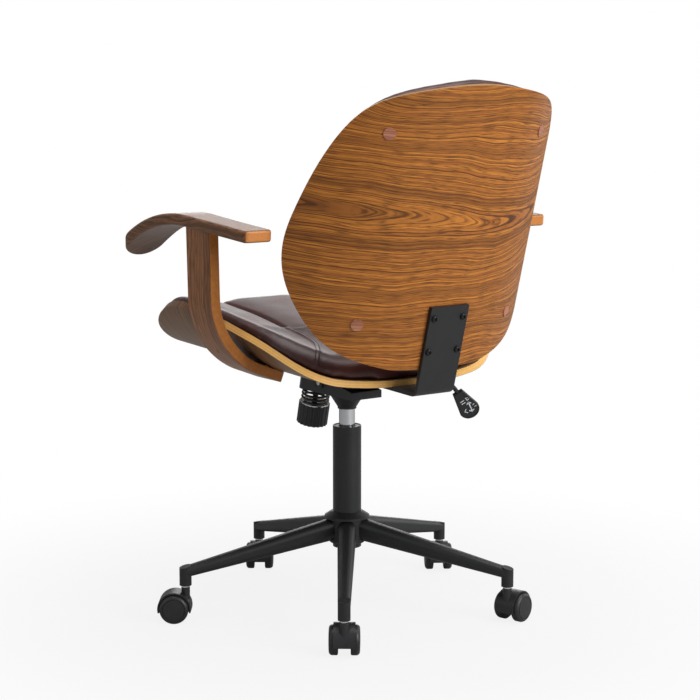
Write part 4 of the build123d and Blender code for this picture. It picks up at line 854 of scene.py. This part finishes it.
def bar(shape, start, end, width):
    """A flat bar between two points in mm. Its middle is sunk, and its top stands just proud."""
    start, end = Vector(start) * MM, Vector(end) * MM
    turn = Matrix.Rotation(math.atan2(end.y - start.y, end.x - start.x), 4, "Z")
    size = Matrix.Diagonal(((end - start).length, width * MM, MARK_THICK, 1.0))
    middle = (start + end) / 2
    spot = Matrix.Translation((middle.x, middle.y, -MARK_SUNK))
    bmesh.ops.create_cube(shape, size=1.0, matrix=spot @ turn @ size)


marks = bmesh.new()
for start, end, width in (
    ((-6, 20), (2, 20), 1.6), ((-6, 25), (2, 25), 1.6),
    ((6, 17), (13, 21), 1.2), ((13, 21), (7, 24), 1.2), ((7, 24), (6, 17), 1.2),
    ((6.5, 28), (3, 49), 2.2), ((6.5, 28), (1.5, 31), 2.0), ((6.5, 28), (10, 33), 2.0),
    ((3, 49), (-1, 44), 2.0), ((3, 49), (8, 46.5), 2.0),
    ((10, 38), (15.5, 36), 1.5), ((11, 43), (16, 43), 1.3),
    ((-4, 38), (-9, 42), 1.5), ((-9, 42), (-5, 47), 1.5),
):
    bar(marks, start, end, width)

# %% Rim
RIM_WIDE, RIM_HIGH = 1.6 * MM, 0.7 * MM
rim = bmesh.new()
outline = [(-8.5, 1.2), (-17.6, 44.0), (-16.2, 51.0), (-11.5, 57.5), (0.0, 60.6)]
outline += [(-x, y) for x, y in outline[-2::-1]]
face = rim.faces.new([rim.verts.new((x * MM, y * MM, 0.0)) for x, y in outline])
face.normal_update()
bmesh.ops.inset_region(rim, faces=[face], thickness=RIM_WIDE, use_boundary=True, use_even_offset=True)
bmesh.ops.delete(rim, geom=[face], context="FACES_ONLY")
raised = bmesh.ops.extrude_face_region(rim, geom=list(rim.faces))["geom"]
top = [part for part in raised if isinstance(part, bmesh.types.BMVert)]
bmesh.ops.translate(rim, verts=top, vec=(0, 0, RIM_HIGH))
bmesh.ops.recalc_face_normals(rim, faces=rim.faces)
print("rim of", len(outline), "corners")

# %% Print and place the marks and the rim
ink, tree, shader = new_finish("white_pad_print")
place = add(tree, "ShaderNodeTexCoord").outputs["Object"]
wear = add(tree, "ShaderNodeTexNoise", {"Vector": place, "Scale": 1 / (1.5 * MM), "Detail": 3.0})
tone = add(tree, "ShaderNodeMix", {
    0: wear, 6: linear("#f2f4f7"), 7: linear("#b9bec6"),
}, data_type="RGBA").outputs[2]
tree.links.new(tone, shader.inputs["Base Color"])
shader.inputs["Roughness"].default_value = 0.5
for name, shape, finish in (("paddle_marks", marks, ink), ("paddle_rim", rim, plastic)):
    bmesh.ops.transform(shape, matrix=to_paddle, verts=shape.verts)
    piece = piece_from(shape, name, finish)
    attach(piece, "lever")

# %% [markdown]
# ## Tension spring
# The spring is squeezed when the seat tilts and when its washer is screwed up, so it can't ride on one
# body. A small circle is spun round the stud with a step upwards each time, which winds it into a coil.
# The coil is made in two pieces: the lower one between the washer and the seat, the upper one
# between the seat and the tilt housing.

# %% Wind the spring
STUD_AT, STUD_LEAN = Vector((0.0, -0.1, 0.355)), math.radians(13.5)
WIRE, COIL_RADIUS, COIL_PITCH, COIL_FOOT = 4.2 * MM, 23.6 * MM, 6.6 * MM, 4.1 * MM
WIRE_SIDES, TURN_STEPS = 12, 36
to_stud = Matrix.Translation(STUD_AT) @ Matrix.Rotation(-STUD_LEAN, 4, "X")
for name, first, last, bodies, ends in (
    ("spring_lower", 0.0, 1.5, ("tension", "seat"), (2.0, 11.9)),
    ("spring_upper", 1.5, 6.636, ("seat", "lift"), (16.1, 50.0)),
):
    shape = bmesh.new()
    turn = Matrix.Rotation(2 * math.pi * first, 4, "Z")
    spot = Matrix.Translation((COIL_RADIUS, 0.0, COIL_FOOT + COIL_PITCH * first))
    upright = Matrix.Rotation(math.pi / 2, 4, "X")
    bmesh.ops.create_circle(shape, segments=WIRE_SIDES, radius=WIRE / 2, matrix=turn @ spot @ upright)
    steps = round(TURN_STEPS * (last - first))
    bmesh.ops.spin(
        shape, geom=list(shape.edges), cent=(0, 0, 0), axis=(0, 0, 1), steps=steps,
        angle=2 * math.pi * (last - first), dvec=(0, 0, COIL_PITCH * (last - first) / steps),
    )
    bmesh.ops.holes_fill(shape, edges=shape.edges)
    bmesh.ops.recalc_face_normals(shape, faces=shape.faces)
    bmesh.ops.transform(shape, matrix=to_stud, verts=shape.verts)
    piece = piece_from(shape, name, coat)
    for face in piece.data.polygons:
        face.use_smooth = len(face.vertices) == 4
    start, end = [to_stud @ Vector((0.0, 0.0, offset * MM)) for offset in ends]
    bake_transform(piece)
    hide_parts("tension_spring")
